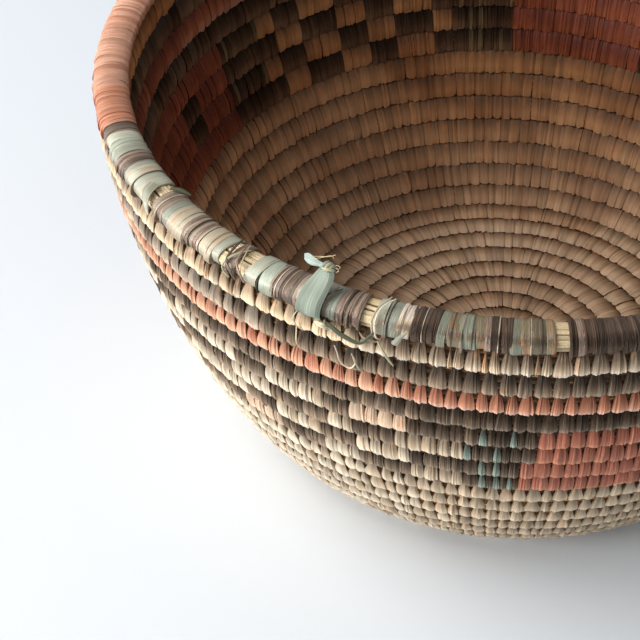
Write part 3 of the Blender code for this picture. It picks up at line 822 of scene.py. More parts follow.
def sew(name, coil, middles, halves, style, dyes, dye_of, rng):
    """Leaf stitches over the coil, each a closed strip that hangs over both faces of the wall."""
    table = np.array(STITCH_STATIONS)
    count, along, columns = len(middles), len(table), style["columns"]
    each = (count, 1, 1)
    outside = (table[:, 1] > 0) & (table[:, 0] < 0)
    up_line = np.where(outside, table[:, 0] * style["tip"] / LOWEST_TIP, table[:, 0]) * coil.pitch
    out_line = table[:, 1] * coil.half
    away_up, away_out = -np.gradient(out_line), np.gradient(up_line)
    size = np.hypot(away_up, away_out)
    away_up, away_out = (away_up / size)[None, :, None], (away_out / size)[None, :, None]
    across = np.linspace(-1.0, 1.0, columns)
    tip = table[:, 4][None, :, None]
    side = np.sign(table[:, 1])[None, :, None]

    widths = table[:, 2 if style["bell"] else 3][None, :, None]
    narrow = np.clip((1.0 - widths) / NECK_DEPTH, 0.0, 1.0)
    widths = widths * (1.0 + (style["neck"] - 1.0 + rng.normal(0.0, NECK_SPREAD, each)) * narrow)
    widths = np.clip(widths, *WIDTH_LIMITS) * rng.uniform(*WIDTH_RANGE, each)
    lean = (STITCH_LEAN + rng.normal(0.0, LEAN_SPREAD, each)) * (0.5 - table[:, 0])[None, :, None]
    turn = middles[:, None, None] + halves[:, None, None] * (across * widths + lean)

    which, place = leaflets(across, count, rng)
    lengths = rng.normal(0.0, LEAFLET_SPREAD, (count, LEAFLET_CUTS + 1))
    ragged = np.take_along_axis(lengths, which, axis=1) + rng.normal(0.0, POINT_SPREAD, (count, columns))
    ragged = ragged + rng.normal(0.0, POINT_SPREAD, (count, 1))
    rounding = rng.uniform(*ROUNDING_RANGE, (count, 1)) * across**4
    up = up_line[None, :, None] + coil.pitch * tip * (ragged + rounding)[:, None, :] + coil.snug(turn)

    folded = np.where(rng.uniform(0, 1, (count, 1)) < FOLDED_OUT_SHARE, 1.0, -1.0)
    pleats = (place - 0.5) * folded * STITCH_FOLD + rng.normal(0.0, STITCH_PLEAT, (count, columns))
    rough = rng.normal(0.0, ROUGHNESS, (count, along, columns)) * STITCH_PLEAT
    crown = table[:, 5][None, :, None] * STITCH_CROWN * (1.0 - across**2)
    lift = STITCH_LEAF + crown + pleats[:, None, :] + rough
    out = out_line[None, :, None] + rng.uniform(*FLARE_RANGE, each) * coil.half * tip * side
    front = coil.place(turn, up + away_up * lift, out + away_out * lift)
    ends = [0, -1]
    sunk = lift[:, :, ends] - STITCH_LEAF
    back = coil.place(turn[:, :, ends], up[:, :, ends] + away_up * sunk, out + away_out * sunk)

    # How far along the leaf a point lies sets its painted shade at the top and its paler tip
    top = int(np.argmax(table[:, 0]))
    reach = np.concatenate([np.linspace(0, 1, top + 1), np.linspace(1, 0, along - top)[1:]])
    shades = rng.uniform(0, 1, (count, LEAFLET_CUTS + 1)) * LEAFLET_SHADE
    shades = shades + rng.uniform(0, 1 - LEAFLET_SHADE, (count, 1))
    # Columns at the leaflets' edges get painted shade, a dark line in each crease
    creased = np.minimum(place, 1.0 - place) < 0.5 / columns
    # The inner faces take the inside's darkening, partly age and partly painted shade
    marks = leaf_marks(
        across[None, None, :], reach[None, :, None], rng.uniform(0, 1, each),
        np.take_along_axis(shades, which, axis=1)[:, None, :], np.where(creased, 1.0, 0.0)[:, None, :],
        np.where(side < 0, style["age_and_shade_inside"], 0.0),
    )
    return make_strips(name, front, back, dyes, dye_of, marks)


def is_near(degrees, spots):
    return any(abs(degrees - spot) < NARROW_REACH for spot in spots)


def motif_dye(number, degrees, rng):
    """The dye of a stitch in the stepped pattern."""
    degrees = degrees % 360.0
    near = NEAR_FROM <= degrees < NEAR_UP_TO
    pattern = NEAR_PATTERN[number] if near else MOTIF
    kind = next((kind for last, kind in pattern if degrees <= last), "coral")
    if kind == "column":
        teal = is_near(degrees, NEAR_TEAL[number]) if near else rng.uniform() < TEAL_SHARE
        return "teal" if teal else "charcoal"
    if kind == "check":
        block = math.floor(degrees / CHECK_DEGREES) + number
        return "charcoal" if block % 2 else "natural"
    if kind == "coral":
        dark = number in DARK_SPOT_ROUNDS and DARK_SPOT[0] < degrees < DARK_SPOT[1]
        return "charcoal" if dark else "brick"
    return kind


def faded_and_lit(dye, degrees, rng):
    """Charcoal turns to smoke on the side that faces the light, partly by fading and partly as painted light.
    """
    if dye == "charcoal" and rng.uniform() < np.interp(degrees, *FADED_AND_LIT):
        return "smoke"
    return dye


def lower_leaf(degrees, rng):
    """Undyed leaf below the first rounds, lighter on the lit side partly by bleaching and partly as painted
    light.
    """
    share = np.interp(degrees, *BLEACHED_AND_LIT)
    return "bleached" if rng.uniform() < share else "sand"


def round_dye(number, degrees, rng):
    """The dye of a stitch in any round of the wall."""
    if is_near(degrees, NEAR_AMBER.get(number, [])):
        return "amber"
    if number in NEAR_PATTERN:
        dye = faded_and_lit(motif_dye(number, degrees, rng), degrees, rng)
        return lower_leaf(degrees, rng) if dye == "natural" else dye
    if number not in ROUND_DYES:
        return lower_leaf(degrees, rng)
    browned = WEATHERED_FROM < degrees < BROWNED_UP_TO.get(number, 0.0)
    if browned and rng.uniform() < WEATHERED_SHARE:
        return "taupe"
    dye = faded_and_lit(ROUND_DYES[number], degrees, rng)
    if number == 1 and WEATHERED_FROM < degrees < CREAM_UP_TO and rng.uniform() < WEATHERED_SHARE:
        return "cream"
    if dye == "coral" and rng.uniform() < np.interp(degrees, *APRICOT_AND_LIT):
        return "apricot"
    first, last = RED_STITCHES.get(number, (0.0, 0.0))
    return "red" if first < degrees < last else dye


def wall_age_and_shade(number, degrees):
    """A round's inside darkening, partly age: less low down as painted light, most at back and right as
    painted shade.
    """
    if number <= BELL_ROUNDS:
        return np.ones(len(degrees))
    return np.interp(number, *WALL_AGE_AND_SHADE) * np.interp(degrees, *INSIDE_SHADE_BY_DEGREES)


def split_narrow(middles, halves, sewn):
    """A teal or an amber leaf is narrow, and shares its place in the row with a common one."""
    spots, reaches, dyes = [], [], []
    for middle, half, dye in zip(middles, halves, sewn):
        if dye in NARROW_LEAVES:
            share, beside = NARROW_LEAVES[dye]
            spots += [middle - (1 - share) * half, middle + share * half]
            reaches += [share * half, (1 - share) * half]
            dyes += [dye, beside]
        else:
            spots.append(middle)
            reaches.append(half)
            dyes.append(dye)
    return np.array(spots), np.array(reaches), dyes


def is_bare(number, degrees):
    return any(first < degrees < last for first, last in BARE_STRETCHES.get(number, []))


def dye_list(names):
    """The dyes in use, and the place in that list of each name."""
    dyes = sorted(set(names))
    return dyes, np.array([dyes.index(name) for name in names])


# Finishes


def node(tree, kind, **settings):
    made = tree.nodes.new(kind)
    for key, value in settings.items():
        setattr(made, key, value)
    return made


def wire(tree, target, source):
    """Feeds a socket from another socket, or sets it to a plain value."""
    if isinstance(source, bpy.types.NodeSocket):
        tree.links.new(source, target)
    else:
        target.default_value = source


def calc(tree, operation, first, second):
    made = node(tree, "ShaderNodeMath", operation=operation)
    wire(tree, made.inputs[0], first)
    wire(tree, made.inputs[1], second)
    return made.outputs[0]


def ramp(tree, value, low, high, new_low=0.0, new_high=1.0):
    """A value's smooth step from one range to another."""
    made = node(tree, "ShaderNodeMapRange", interpolation_type="SMOOTHSTEP")
    for socket, given in zip(made.inputs, (value, low, high, new_low, new_high)):
        wire(tree, socket, given)
    return made.outputs[0]


def blend(tree, share, first, second, mode="MIX"):
    made = node(tree, "ShaderNodeMix", data_type="RGBA", blend_type=mode)
    wire(tree, made.inputs["Factor"], share)
    wire(tree, made.inputs[6], first)
    wire(tree, made.inputs[7], second)
    return made.outputs[2]


def mark(tree, name):
    """A mark that leaf_marks left on the mesh."""
    return node(tree, "ShaderNodeAttribute", attribute_name=name).outputs["Fac"]


def noise(tree, vector, scale, detail=2.0, roughness=0.55):
    made = node(tree, "ShaderNodeTexNoise")
    wire(tree, made.inputs["Vector"], vector)
    made.inputs["Scale"].default_value = scale
    made.inputs["Detail"].default_value = detail
    made.inputs["Roughness"].default_value = roughness
    return made.outputs[0]


def spot(tree, x, y, z):
    made = node(tree, "ShaderNodeCombineXYZ")
    for socket, value in zip(made.inputs, (x, y, z)):
        wire(tree, socket, value)
    return made.outputs[0]


def leaf_group():
    """Palm leaf: veins, stains, painted shade at its top and creases, a tip partly painted highlight, inside
    darkening.
    """
    if "palm_leaf" in bpy.data.node_groups:
        return bpy.data.node_groups["palm_leaf"]
    tree = bpy.data.node_groups.new("palm_leaf", "ShaderNodeTree")
    sockets = [(name, "INPUT", "NodeSocketColor") for name in LEAF_COLOURS]
    sockets += [(name, "INPUT", "NodeSocketFloat") for name in LEAF_AMOUNTS]
    sockets += [("Color", "OUTPUT", "NodeSocketColor")]
    sockets += [(name, "OUTPUT", "NodeSocketFloat") for name in ("Roughness", "Height")]
    for name, way, kind in sockets:
        tree.interface.new_socket(name, in_out=way, socket_type=kind)
    given = node(tree, "NodeGroupInput").outputs
    made = node(tree, "NodeGroupOutput").inputs
    across, along = mark(tree, "leaf_across"), mark(tree, "leaf_along")
    seed, shade = calc(tree, "MULTIPLY", mark(tree, "leaf_seed"), 60.0), mark(tree, "leaf_shade")
    inside, crease_shade = mark(tree, "leaf_inside"), mark(tree, "leaf_crease_shade")

    # Veins and patches run along the strip
    sideways = calc(tree, "MULTIPLY", across, given["Fibres"])
    veins = noise(tree, spot(tree, sideways, calc(tree, "MULTIPLY", along, 0.25), seed), 4.0, 2.0, 0.6)
    streaks = calc(tree, "MULTIPLY", sideways, 0.35)
    patchy = spot(tree, streaks, calc(tree, "MULTIPLY", along, 2.6), seed)
    patches = noise(tree, patchy, 1.5, 1.0)

    # Painted shade darkens the dye at the top, where the leaf dives between its neighbours; the tips are
    # paler, partly the leaf's own fading and partly painted highlight where they catch the light
    colour = blend(tree, ramp(tree, along, 0.15, 0.66), given["Leaf"], given["Groove Shade"])
    colour = blend(tree, ramp(tree, along, 0.36, 0.02), colour, given["Tip"])

    # Stains, pale veins, dark veins, and painted shade in the creases; the dark veins and the crease shade
    # are weaker inside the bowl
    patches = calc(tree, "ADD", patches, calc(tree, "MULTIPLY", calc(tree, "SUBTRACT", shade, 0.5), 0.22))
    stained = calc(tree, "MULTIPLY", ramp(tree, patches, 0.52, 0.86), given["Stain Amount"])
    colour = blend(tree, stained, colour, given["Stain"])
    light = calc(tree, "MULTIPLY", ramp(tree, veins, 0.54, 0.70), given["Vein Amount"])
    light = calc(tree, "MULTIPLY", light, ramp(tree, along, 0.95, 0.35))
    colour = blend(tree, light, colour, given["Vein"])
    dark = calc(tree, "MULTIPLY", ramp(tree, veins, 0.48, 0.30), 0.6)
    dark = calc(tree, "MAXIMUM", dark, calc(tree, "MULTIPLY", crease_shade, 0.75))
    dark = calc(tree, "MULTIPLY", dark, ramp(tree, inside, 0.0, 1.0, 1.0, 0.45))
    colour = blend(tree, dark, colour, blend(tree, 0.75, colour, given["Groove Shade"]))

    # Each leaf's own tone, wear inside the bowl, and the inside's darkening, partly age and partly painted
    # shade
    uneven = calc(tree, "MULTIPLY", calc(tree, "SUBTRACT", shade, 0.5), given["Unevenness"])
    tone = node(tree, "ShaderNodeHueSaturation")
    wire(tree, tone.inputs["Value"], calc(tree, "ADD", uneven, 1.0))
    worn = noise(tree, node(tree, "ShaderNodeNewGeometry").outputs["Position"], WORN_PATCHES, 3.0)
    worn = calc(tree, "MULTIPLY", ramp(tree, worn, 0.35, 0.65), inside)
    worn = blend(tree, worn, (*WHITE, 1.0), (*WORN, 1.0))
    wire(tree, tone.inputs["Color"], blend(tree, 1.0, colour, worn, "MULTIPLY"))
    wire(tree, made["Color"], blend(tree, inside, tone.outputs[0], given["Age And Shade"], "MULTIPLY"))

    # Veins are duller than the leaf between them, and stand up with the patches
    rough = ramp(tree, veins, 0.30, 0.75, 0.46, 0.70)
    wire(tree, made["Roughness"], calc(tree, "MULTIPLY", rough, given["Dullness"]))
    wire(tree, made["Height"], calc(tree, "ADD", veins, calc(tree, "MULTIPLY", patches, 0.4)))
    return tree


def shifted(colour, factor, toward=WHITE, share=0.0):
    """A colour made lighter or darker, and moved some way to another."""
    mixed = np.array(colour) * factor * (1.0 - share) + np.array(toward) * share
    return tuple(np.clip(mixed, 0.0, 1.0).tolist())


def leaf_material(name, dye, groove_shade, tip, vein, stain, amounts, relief=0.5, age_and_shade=AGE_AND_SHADE, sheen=DULL):
    """One finish of leaf. Amounts are for veins, stains, unevenness and fibres."""
    material = bpy.data.materials.new(name)
    material.use_nodes = True
    tree = material.node_tree
    shader = tree.nodes["Principled BSDF"]
    leaf = node(tree, "ShaderNodeGroup", node_tree=leaf_group())
    specular, dullness = sheen
    for socket, colour in zip(LEAF_COLOURS, (dye, groove_shade, tip, vein, stain, age_and_shade)):
        leaf.inputs[socket].default_value = (*colour, 1.0)
    for socket, amount in zip(LEAF_AMOUNTS, (*amounts, dullness)):
        leaf.inputs[socket].default_value = amount
    wire(tree, shader.inputs["Base Color"], leaf.outputs["Color"])
    wire(tree, shader.inputs["Roughness"], leaf.outputs["Roughness"])
    bump = node(tree, "ShaderNodeBump")
    bump.inputs["Strength"].default_value = relief
    bump.inputs["Distance"].default_value = RELIEF_DEPTH
    wire(tree, bump.inputs["Height"], leaf.outputs["Height"])
    wire(tree, shader.inputs["Normal"], bump.outputs[0])
    shader.inputs["Specular IOR Level"].default_value = specular
    material.diffuse_color = (*dye, 1.0)


def stitch_finishes(dyes):
    """The leaf of the stitches."""
    # Each finish: its dye, the painted shade at its top, its paler tip, its veins and stains, and amounts
    for name, dye_share, unevenness in (("cream", 0.5, 0.4), ("bleached", 0.5, 0.4), ("sand", 0.4, 0.5)):
        dye = getattr(dyes, name)
        leaf_material(
            name, dye, shifted(dye, 0.45, UMBER, 0.4), shifted(dye, 1.0, PALE, 0.4), PALE,
            shifted(ORANGE, 1.0, dye, dye_share), (0.4, 0.5, unevenness, 1.6),
        )
    leaf_material(
        "natural", dyes.natural, shifted(dyes.natural, 0.25, UMBER, 0.5),
        shifted(dyes.natural, 1.0, leaf_colour(236, 228, 222), 0.75), PALE,
        shifted(ORANGE, 1.0, dyes.natural, 0.4), (0.4, 0.5, 0.4, 1.6),
    )
    leaf_material(
        "peach", dyes.peach, shifted(dyes.peach, 0.7, UMBER, 0.2), shifted(dyes.peach, 1.0, PALE, 0.35),
        PALE, ORANGE, (0.45, 0.5, 0.35, 1.7),
    )
    leaf_material(
        "amber", leaf_colour(220, 180, 136), shifted(dyes.natural, 0.4, UMBER, 0.5), PALE, PALE, ORANGE,
        (0.6, 0.7, 0.4, 1.6),
    )
    leaf_material(
        "charcoal", dyes.charcoal, leaf_colour(50, 37, 26), leaf_colour(158, 140, 121),
        leaf_colour(196, 182, 158), leaf_colour(104, 80, 58), (0.22, 0.5, 0.8, 1.8),
        age_and_shade=DARK_AGE_AND_SHADE, sheen=MATT,
    )
    leaf_material(
        "smoke", dyes.smoke, shifted(dyes.smoke, 0.25, SHADOW, 0.5), leaf_colour(176, 156, 134),
        leaf_colour(214, 196, 168), UMBER, (0.3, 0.5, 0.8, 1.8), age_and_shade=FADED_AGE_AND_SHADE, sheen=MATT,
    )
    leaf_material(
        "taupe", dyes.taupe, shifted(dyes.taupe, 0.35, SHADOW, 0.3), shifted(dyes.taupe, 1.3),
        leaf_colour(206, 190, 166), UMBER, (0.3, 0.5, 0.9, 1.9), age_and_shade=FADED_AGE_AND_SHADE,
    )
    leaf_material(
        "coral", dyes.coral, shifted(dyes.coral, 0.30, RUST, 0.4), leaf_colour(240, 208, 190),
        leaf_colour(240, 204, 176), shifted(dyes.coral, 0.5, RUST, 0.5), (0.3, 0.5, 0.4, 1.8),
        age_and_shade=RED_AGE_AND_SHADE,
    )
    leaf_material(
        "apricot", dyes.apricot, shifted(dyes.apricot, 0.35, RUST, 0.3),
        shifted(dyes.apricot, 1.0, PALE, 0.4), shifted(dyes.apricot, 1.0, PALE, 0.5),
        shifted(dyes.coral, 0.9), (0.3, 0.4, 0.4, 1.6), age_and_shade=APRICOT_AGE_AND_SHADE,
    )
    leaf_material(
        "brick", dyes.brick, shifted(dyes.brick, 0.35, dyes.red, 0.3),
        shifted(dyes.brick, 1.0, dyes.coral, 0.6), dyes.coral, shifted(dyes.brick, 0.55),
        (0.5, 0.8, 0.6, 1.6), age_and_shade=RED_AGE_AND_SHADE,
    )
    leaf_material(
        "red", dyes.red, shifted(dyes.red, 0.5), dyes.coral, leaf_colour(236, 150, 132),
        shifted(dyes.red, 0.6), (0.4, 0.5, 0.4, 1.8),
    )
    leaf_material(
        "teal", dyes.teal, shifted(dyes.teal, 0.35, SHADOW, 0.4), shifted(dyes.teal, 1.25),
        leaf_colour(178, 196, 180), leaf_colour(84, 80, 66), (0.5, 0.8, 0.5, 1.8),
    )


def rim_finishes(dyes):
    """The leaf round the rim."""
    # Each: painted shade at the top as a shift of the dye, tip colour (painted highlight on a turn's light
    # side), veins, stains
    colours = {
        "sage": ((0.75, UMBER, 0.15), (174, 176, 158), (202, 200, 180), (166, 116, 70)),
        "mint": ((0.6, UMBER, 0.15), (164, 172, 154), (184, 190, 172), (146, 146, 124)),
        "dun": ((0.7, UMBER, 0.2), (194, 180, 154), (214, 202, 178), (186, 128, 74)),
        "fawn": ((0.45, SHADOW, 0.15), (168, 150, 132), (204, 188, 168), (98, 72, 54)),
        "brown": ((0.4, SHADOW, 0.2), (142, 122, 108), (182, 162, 144), (78, 54, 38)),
    }
    amounts = {
        "sage": (0.5, 0.7, 0.7, 1.7), "mint": (0.45, 0.6, 0.5, 1.7), "dun": (0.5, 0.8, 0.6, 1.7),
        "fawn": (0.7, 0.7, 0.9, 1.1), "brown": (0.8, 0.7, 1.1, 1.1),
    }
    for name, (groove_shade, tip, vein, stain) in colours.items():
        dye = getattr(dyes, name)
        leaf_material(
            name, dye, shifted(dye, *groove_shade), leaf_colour(*tip), leaf_colour(*vein), leaf_colour(*stain),
            amounts[name], relief=0.8 if name in ("fawn", "brown") else 0.5, sheen=SILKY,
        )
    leaf_material(
        "umber", dyes.umber, shifted(dyes.umber, 0.35, SHADOW, 0.2), leaf_colour(104, 88, 76),
        leaf_colour(126, 108, 90), leaf_colour(60, 38, 24), (0.45, 0.8, 0.8, 1.3), relief=0.7,
    )
    leaf_material(
        "olive", dyes.olive, shifted(dyes.olive, 0.45, UMBER, 0.3), shifted(dyes.olive, 1.15),
        leaf_colour(158, 150, 124), leaf_colour(170, 100, 50), (0.6, 0.9, 0.7, 1.5), 0.6, sheen=SILKY,
    )
    leaf_material(
        "moss", dyes.moss, shifted(dyes.moss, 0.45, UMBER, 0.3), shifted(dyes.moss, 1.15),
        leaf_colour(154, 158, 138), leaf_colour(140, 98, 60), (0.6, 0.7, 0.6, 1.5), 0.6, sheen=SILKY,
    )
    leaf_material(
        "coral_rim", dyes.coral_rim, shifted(dyes.coral_rim, 0.45, dyes.red, 0.3),
        leaf_colour(210, 158, 130), leaf_colour(226, 184, 158), shifted(dyes.coral_rim, 0.5, dyes.red, 0.4),
        (0.4, 0.5, 0.32, 1.1), sheen=SILKY,
    )
    leaf_material(
        "rust_rim", leaf_colour(172, 100, 66), shifted(dyes.red, 0.6), shifted(dyes.coral_rim, 0.9),
        leaf_colour(220, 160, 120), shifted(dyes.red, 0.5), (0.4, 0.5, 0.4, 1.1), sheen=SILKY,
    )


def loose_finishes(dyes):
    """The knotted leaf, the loose ends, the straw and the grass bundle."""
    tied = dyes.knotted
    leaf_material(
        "knotted_leaf", tied, shifted(tied, 0.6, UMBER, 0.1), shifted(tied, 1.2), shifted(tied, 1.6),
        leaf_colour(128, 128, 108), (0.5, 0.5, 0.3, 1.3),
    )
    # The fold is the knotted leaf made darker, as painted shade on the fold
    leaf_material(
        "shaded_folded_leaf", shifted(tied, 0.7), shifted(tied, 0.4), shifted(tied, 0.9), shifted(tied, 1.2),
        leaf_colour(100, 100, 84), (0.4, 0.4, 0.3, 2.0),
    )
    leaf_material(
        "knot_end", leaf_colour(176, 192, 184), tied, leaf_colour(196, 208, 200), PALE,
        shifted(tied, 1.3), (0.4, 0.4, 0.3, 2.0),
    )
    leaf_material(
        "straw_green", leaf_colour(178, 170, 132), UMBER, leaf_colour(196, 190, 158), PALE, UMBER,
        (0.5, 0.4, 0.5, 1.6), relief=0.4,
    )
    leaf_material(
        "green", dyes.green, shifted(dyes.green, 0.5), shifted(dyes.green, 1.2),
        leaf_colour(150, 158, 132), UMBER, (0.4, 0.3, 0.2, 1.6),
    )
    leaf_material(
        "pale_straw", dyes.straw, shifted(dyes.straw, 0.6, UMBER, 0.3), shifted(dyes.straw, 1.1),
        leaf_colour(244, 230, 200), ORANGE, (0.5, 0.4, 0.5, 1.6),
    )
    leaf_material(
        "dry_grass", dyes.grass, SHADOW, leaf_colour(184, 132, 82), leaf_colour(206, 174, 124), SHADOW,
        (0.9, 0.5, 1.2, 0.9), age_and_shade=BUNDLE_INSIDE_LIFT,
    )


# Operators


class BasketOperator(bpy.types.Operator):
    """What every step of the basket shares."""

    bl_options = {"REGISTER", "UNDO"}


class BASKET_OT_finishes(BasketOperator):
    """Make the finishes of dyed leaf, straw and grass"""

    bl_idname = "basket.finishes"
    bl_label = "Leaf finishes"

    def execute(self, context):
        dyes = context.scene.basket_dyes
        stitch_finishes(dyes)
        rim_finishes(dyes)
        loose_finishes(dyes)
        return {"FINISHED"}


class BASKET_OT_wall_stitches(BasketOperator):
    """Sew the rows of leaf stitches over the wall's rounds"""

    bl_idname = "basket.wall_stitches"
    bl_label = "Wall stitches"

    def execute(self, context):
        coil = Coil(context.scene.basket_sizes)
        for name in sorted(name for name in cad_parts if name.startswith("round_")):
            _, digits, kind = name.split("_")
            number = int(digits)
            rng = np.random.default_rng(WALL_SEED + number)
            first = COIL_TURNS - number
            middles, halves = stitch_spots(first, first + 1, STITCH_COUNTS[number - 1], rng)
            degrees = SEAM_DEGREES + 360.0 * (middles - first)
            kept = np.array([not is_bare(number, spot) for spot in degrees])
            sewn = [round_dye(number, spot, rng) for spot in degrees[kept]]
            middles, halves, sewn = split_narrow(middles[kept], halves[kept], sewn)
            dyes, dye_of = dye_list(sewn)
            degrees = SEAM_DEGREES + 360.0 * (middles - first)
            narrow = np.array([dye in NARROW_LEAVES for dye in sewn])
            neck = NECK_SHARES.get(number, 1.0)
            necks = np.interp(degrees, FULL_UP_TO, (FULL_NECKS.get(number, neck), neck))
            style = {
                "bell": number <= BELL_ROUNDS,
                "neck": (necks * np.where(narrow, NARROW_NECK, 1.0))[:, None, None],
                "tip": TIP_SHARES.get(number, LOWEST_TIP),
                "columns": NEAR_COLUMNS if number <= BELL_ROUNDS else FAR_COLUMNS,
                "age_and_shade_inside": wall_age_and_shade(number, degrees)[:, None, None],
            }
            piece = sew(f"stitches_{digits}", coil, middles, halves, style, dyes, dye_of, rng)
            settle(piece, f"{kind}_leaf", name)
        return {"FINISHED"}


class BASKET_OT_base_stitches(BasketOperator):
    """Sew the stitches over the base's loops"""

    bl_idname = "basket.base_stitches"
    bl_label = "Base stitches"

    def execute(self, context):
        coil = Coil(context.scene.basket_sizes)
        rng = np.random.default_rng(BASE_SEED)
        runs = []
        for turn in range(BASE_TURNS):
            count = round(math.tau * coil.radius_at(turn + 0.5) / BASE_LEAF_WIDTH)
            runs.append(stitch_spots(turn, turn + 1, count, rng))
        middles, halves = (np.concatenate(parts) for parts in zip(*runs))
        style = {"bell": False, "neck": 1.0, "tip": LOWEST_TIP, "columns": FAR_COLUMNS, "age_and_shade_inside": BASE_AGE_AND_SHADE}
        piece = sew("stitches_base", coil, middles, halves, style, ["sand"], np.zeros(len(middles)), rng)
        settle(piece, "natural_leaf", "base_stitching")
        return {"FINISHED"}


class BASKET_OT_start_knot(BasketOperator):
    """Wind the leaf knot in the middle of the base"""

    bl_idname = "basket.start_knot"
    bl_label = "Starting knot"

    def execute(self, context):
        sizes = context.scene.basket_sizes
        rng = np.random.default_rng(START_SEED)
        each = (KNOT_STRIPS, 1, 1)
        across = np.linspace(-1.0, 1.0, KNOT_COLUMNS)
        reach, tall = np.array(KNOT_SECTION).T[:, None, :, None]
        turn = (np.arange(KNOT_STRIPS)[:, None, None] + 0.5 + KNOT_REACH * across) / KNOT_STRIPS
        radius = (sizes.button_radius + Coil(sizes).pitch * turn) * reach
        wobble = rng.normal(0.0, KNOT_PLEAT, (KNOT_STRIPS, 1, KNOT_COLUMNS)) + KNOT_CROWN * (1 - across**2)
        height = sizes.round_thickness * tall + wobble * np.where(tall > 0.5, 1.0, -1.0)
        angle = math.radians(SEAM_DEGREES) + math.tau * turn

        def points(radius, height):
            spots = [radius * np.cos(angle), radius * np.sin(angle), pressed(height)]
            return np.stack(np.broadcast_arrays(*spots), axis=-1)

        front = points(radius, height)
        lining = height * KNOT_LINING + sizes.round_thickness * (1.0 - KNOT_LINING) / 2
        back = points(radius * KNOT_LINING, lining)[:, :, [0, -1]]
        # The knot is darker toward its middle, as painted shade, and takes the paler tip colour at its rim
        marks = leaf_marks(
            across[None, None, :], (1.0 - reach) * KNOT_SHADE, rng.uniform(0, 1, each),
            rng.uniform(0, 1, each), inside=np.where(tall > 0.5, BASE_AGE_AND_SHADE, 0.0),
        )
        piece = make_strips("start_knot", front, back, ["natural"], np.zeros(KNOT_STRIPS), marks)
        settle(piece, "natural_leaf", "start_button")
        return {"FINISHED"}


class BASKET_OT_grass_bundle(BasketOperator):
    """Lay the grass bundle that the stitches hold"""

    bl_idname = "basket.grass_bundle"
    bl_label = "Grass bundle"

    def execute(self, context):
        coil = Coil(context.scene.basket_sizes)
        rng = np.random.default_rng(BUNDLE_SEED)
        turn = np.linspace(0.0, COIL_TURNS, COIL_TURNS * BUNDLE_STATIONS + 1)[:, None]
        stalk = np.arange(BUNDLE_SIDES)[None, :]
        around = math.tau * stalk / BUNDLE_SIDES
        spread = rng.normal(0.0, BUNDLE_SPREAD, (len(turn), BUNDLE_SIDES))
        strands = BUNDLE_HOLLOW + BUNDLE_RIDGE * (stalk % 2) + spread
        up = (coil.pitch / 2 + BUNDLE_OVERRUN) * np.cos(around) * strands
        out = (coil.half - np.interp(turn, *BUNDLE_DEPTHS)) * np.sin(around) * strands
        rings = coil.place(turn, up + coil.snug(turn), out)[None]
        # Every second stalk is lighter and those between darker, as painted light on the ridges; the colour
        # by turn is painted shade
        marks = leaf_marks(
            stalk[None] * STALK_WIDTH, np.interp(turn, *BUNDLE_SHADES)[None], turn[None] * STALK_LENGTH,
            (stalk % 2)[None], inside=np.where(np.sin(around) < 0, 1.0, 0.0)[None],
        )
        piece = make_tubes("grass_bundle", rings, ["dry_grass"], np.zeros(1), marks)
        settle(piece, "grass", "foundation_coil")
        return {"FINISHED"}


def rim_outline(coil, theta, inset):
    """Up and out on the rim's section at angles from its seat outwards, over the top and back."""
    half_tall = coil.sizes.rim_height / 2 - inset
    half_wide = coil.sizes.rim_width / 2 - inset
    power = 2.0 / BINDING_POWER
    up = -half_tall * np.sign(np.cos(theta)) * np.abs(np.cos(theta)) ** power
    out = half_wide * np.sign(np.sin(theta)) * np.abs(np.sin(theta)) ** power
    return up, out


def bind(name, coil, degrees, widths, raised, dyes, dye_of, rng):
    """Turns of leaf round the rim, each a closed band; widths are degrees round the basket."""
    count, columns = len(degrees), BINDING_COLUMNS
    each = (count, 1, 1)
    theta = np.linspace(BINDING_SEAM, math.tau - BINDING_SEAM, BINDING_STATIONS)[None, :, None]
    across = np.linspace(-1.0, 1.0, columns)[None, None, :]
    slants = [rng.normal(0.0, slant, each) for slant in TURN_SLANTS]
    wander = slants[0] * np.sin(theta) + slants[1] * np.cos(theta)
    tuck = 1.0 - TURN_TUCK * np.clip(np.cos(theta), 0.0, 1.0) ** 3
    spots = degrees[:, None, None] + widths[:, None, None] * (TURN_REACH * across * tuck + wander)
    pleats = rng.normal(0.0, TURN_PLEAT, (count, 1, columns))
    pleats = pleats + rng.normal(0.0, TURN_ROUGHNESS, (count, BINDING_STATIONS, columns))
    tilt = rng.normal(0.0, TURN_TILT, each) * across
    lift = TURN_CROWN * (1.0 - across**4) + tilt + pleats + rng.uniform(*TURN_LIFTS, each) + raised
    droop = TURN_DROOP + rng.normal(0.0, DROOP_SPREAD, each)
    lift = lift + droop * np.clip(np.sin(theta + DROOP_ANGLE), 0.0, 1.0) ** 3
    up, out = rim_outline(coil, theta, coil.sizes.wrap_leaf)

    def ring(degrees_at, stand_off):
        grown = 1.0 + stand_off / np.hypot(up, out)
        return coil.rim_place(degrees_at, up * grown, out * grown)

    front = ring(spots, lift + TURN_LEAF)
    back = ring(spots[:, :, [0, -1]], -TURN_LINING)
    # Painted highlight on the turn's light side, a band of painted shade along it, and painted shade at its
    # edges
    shaded = np.interp(degrees, *SHADED_ANGLES)[:, None, None]
    along = LIGHT_SIDE + SHADED_DEPTH * np.exp(-(((theta - shaded) / SHADED_WIDTH) ** 2))
    marks = leaf_marks(
        across, along, rng.uniform(0, 1, each) + SEED_DRIFT * theta, rng.uniform(0, 1, each),
        np.where(np.abs(across) > EDGE_FROM, EDGE_SHADE, 0.0),
    )
    return make_strips(name, front, back, dyes, dye_of, marks)


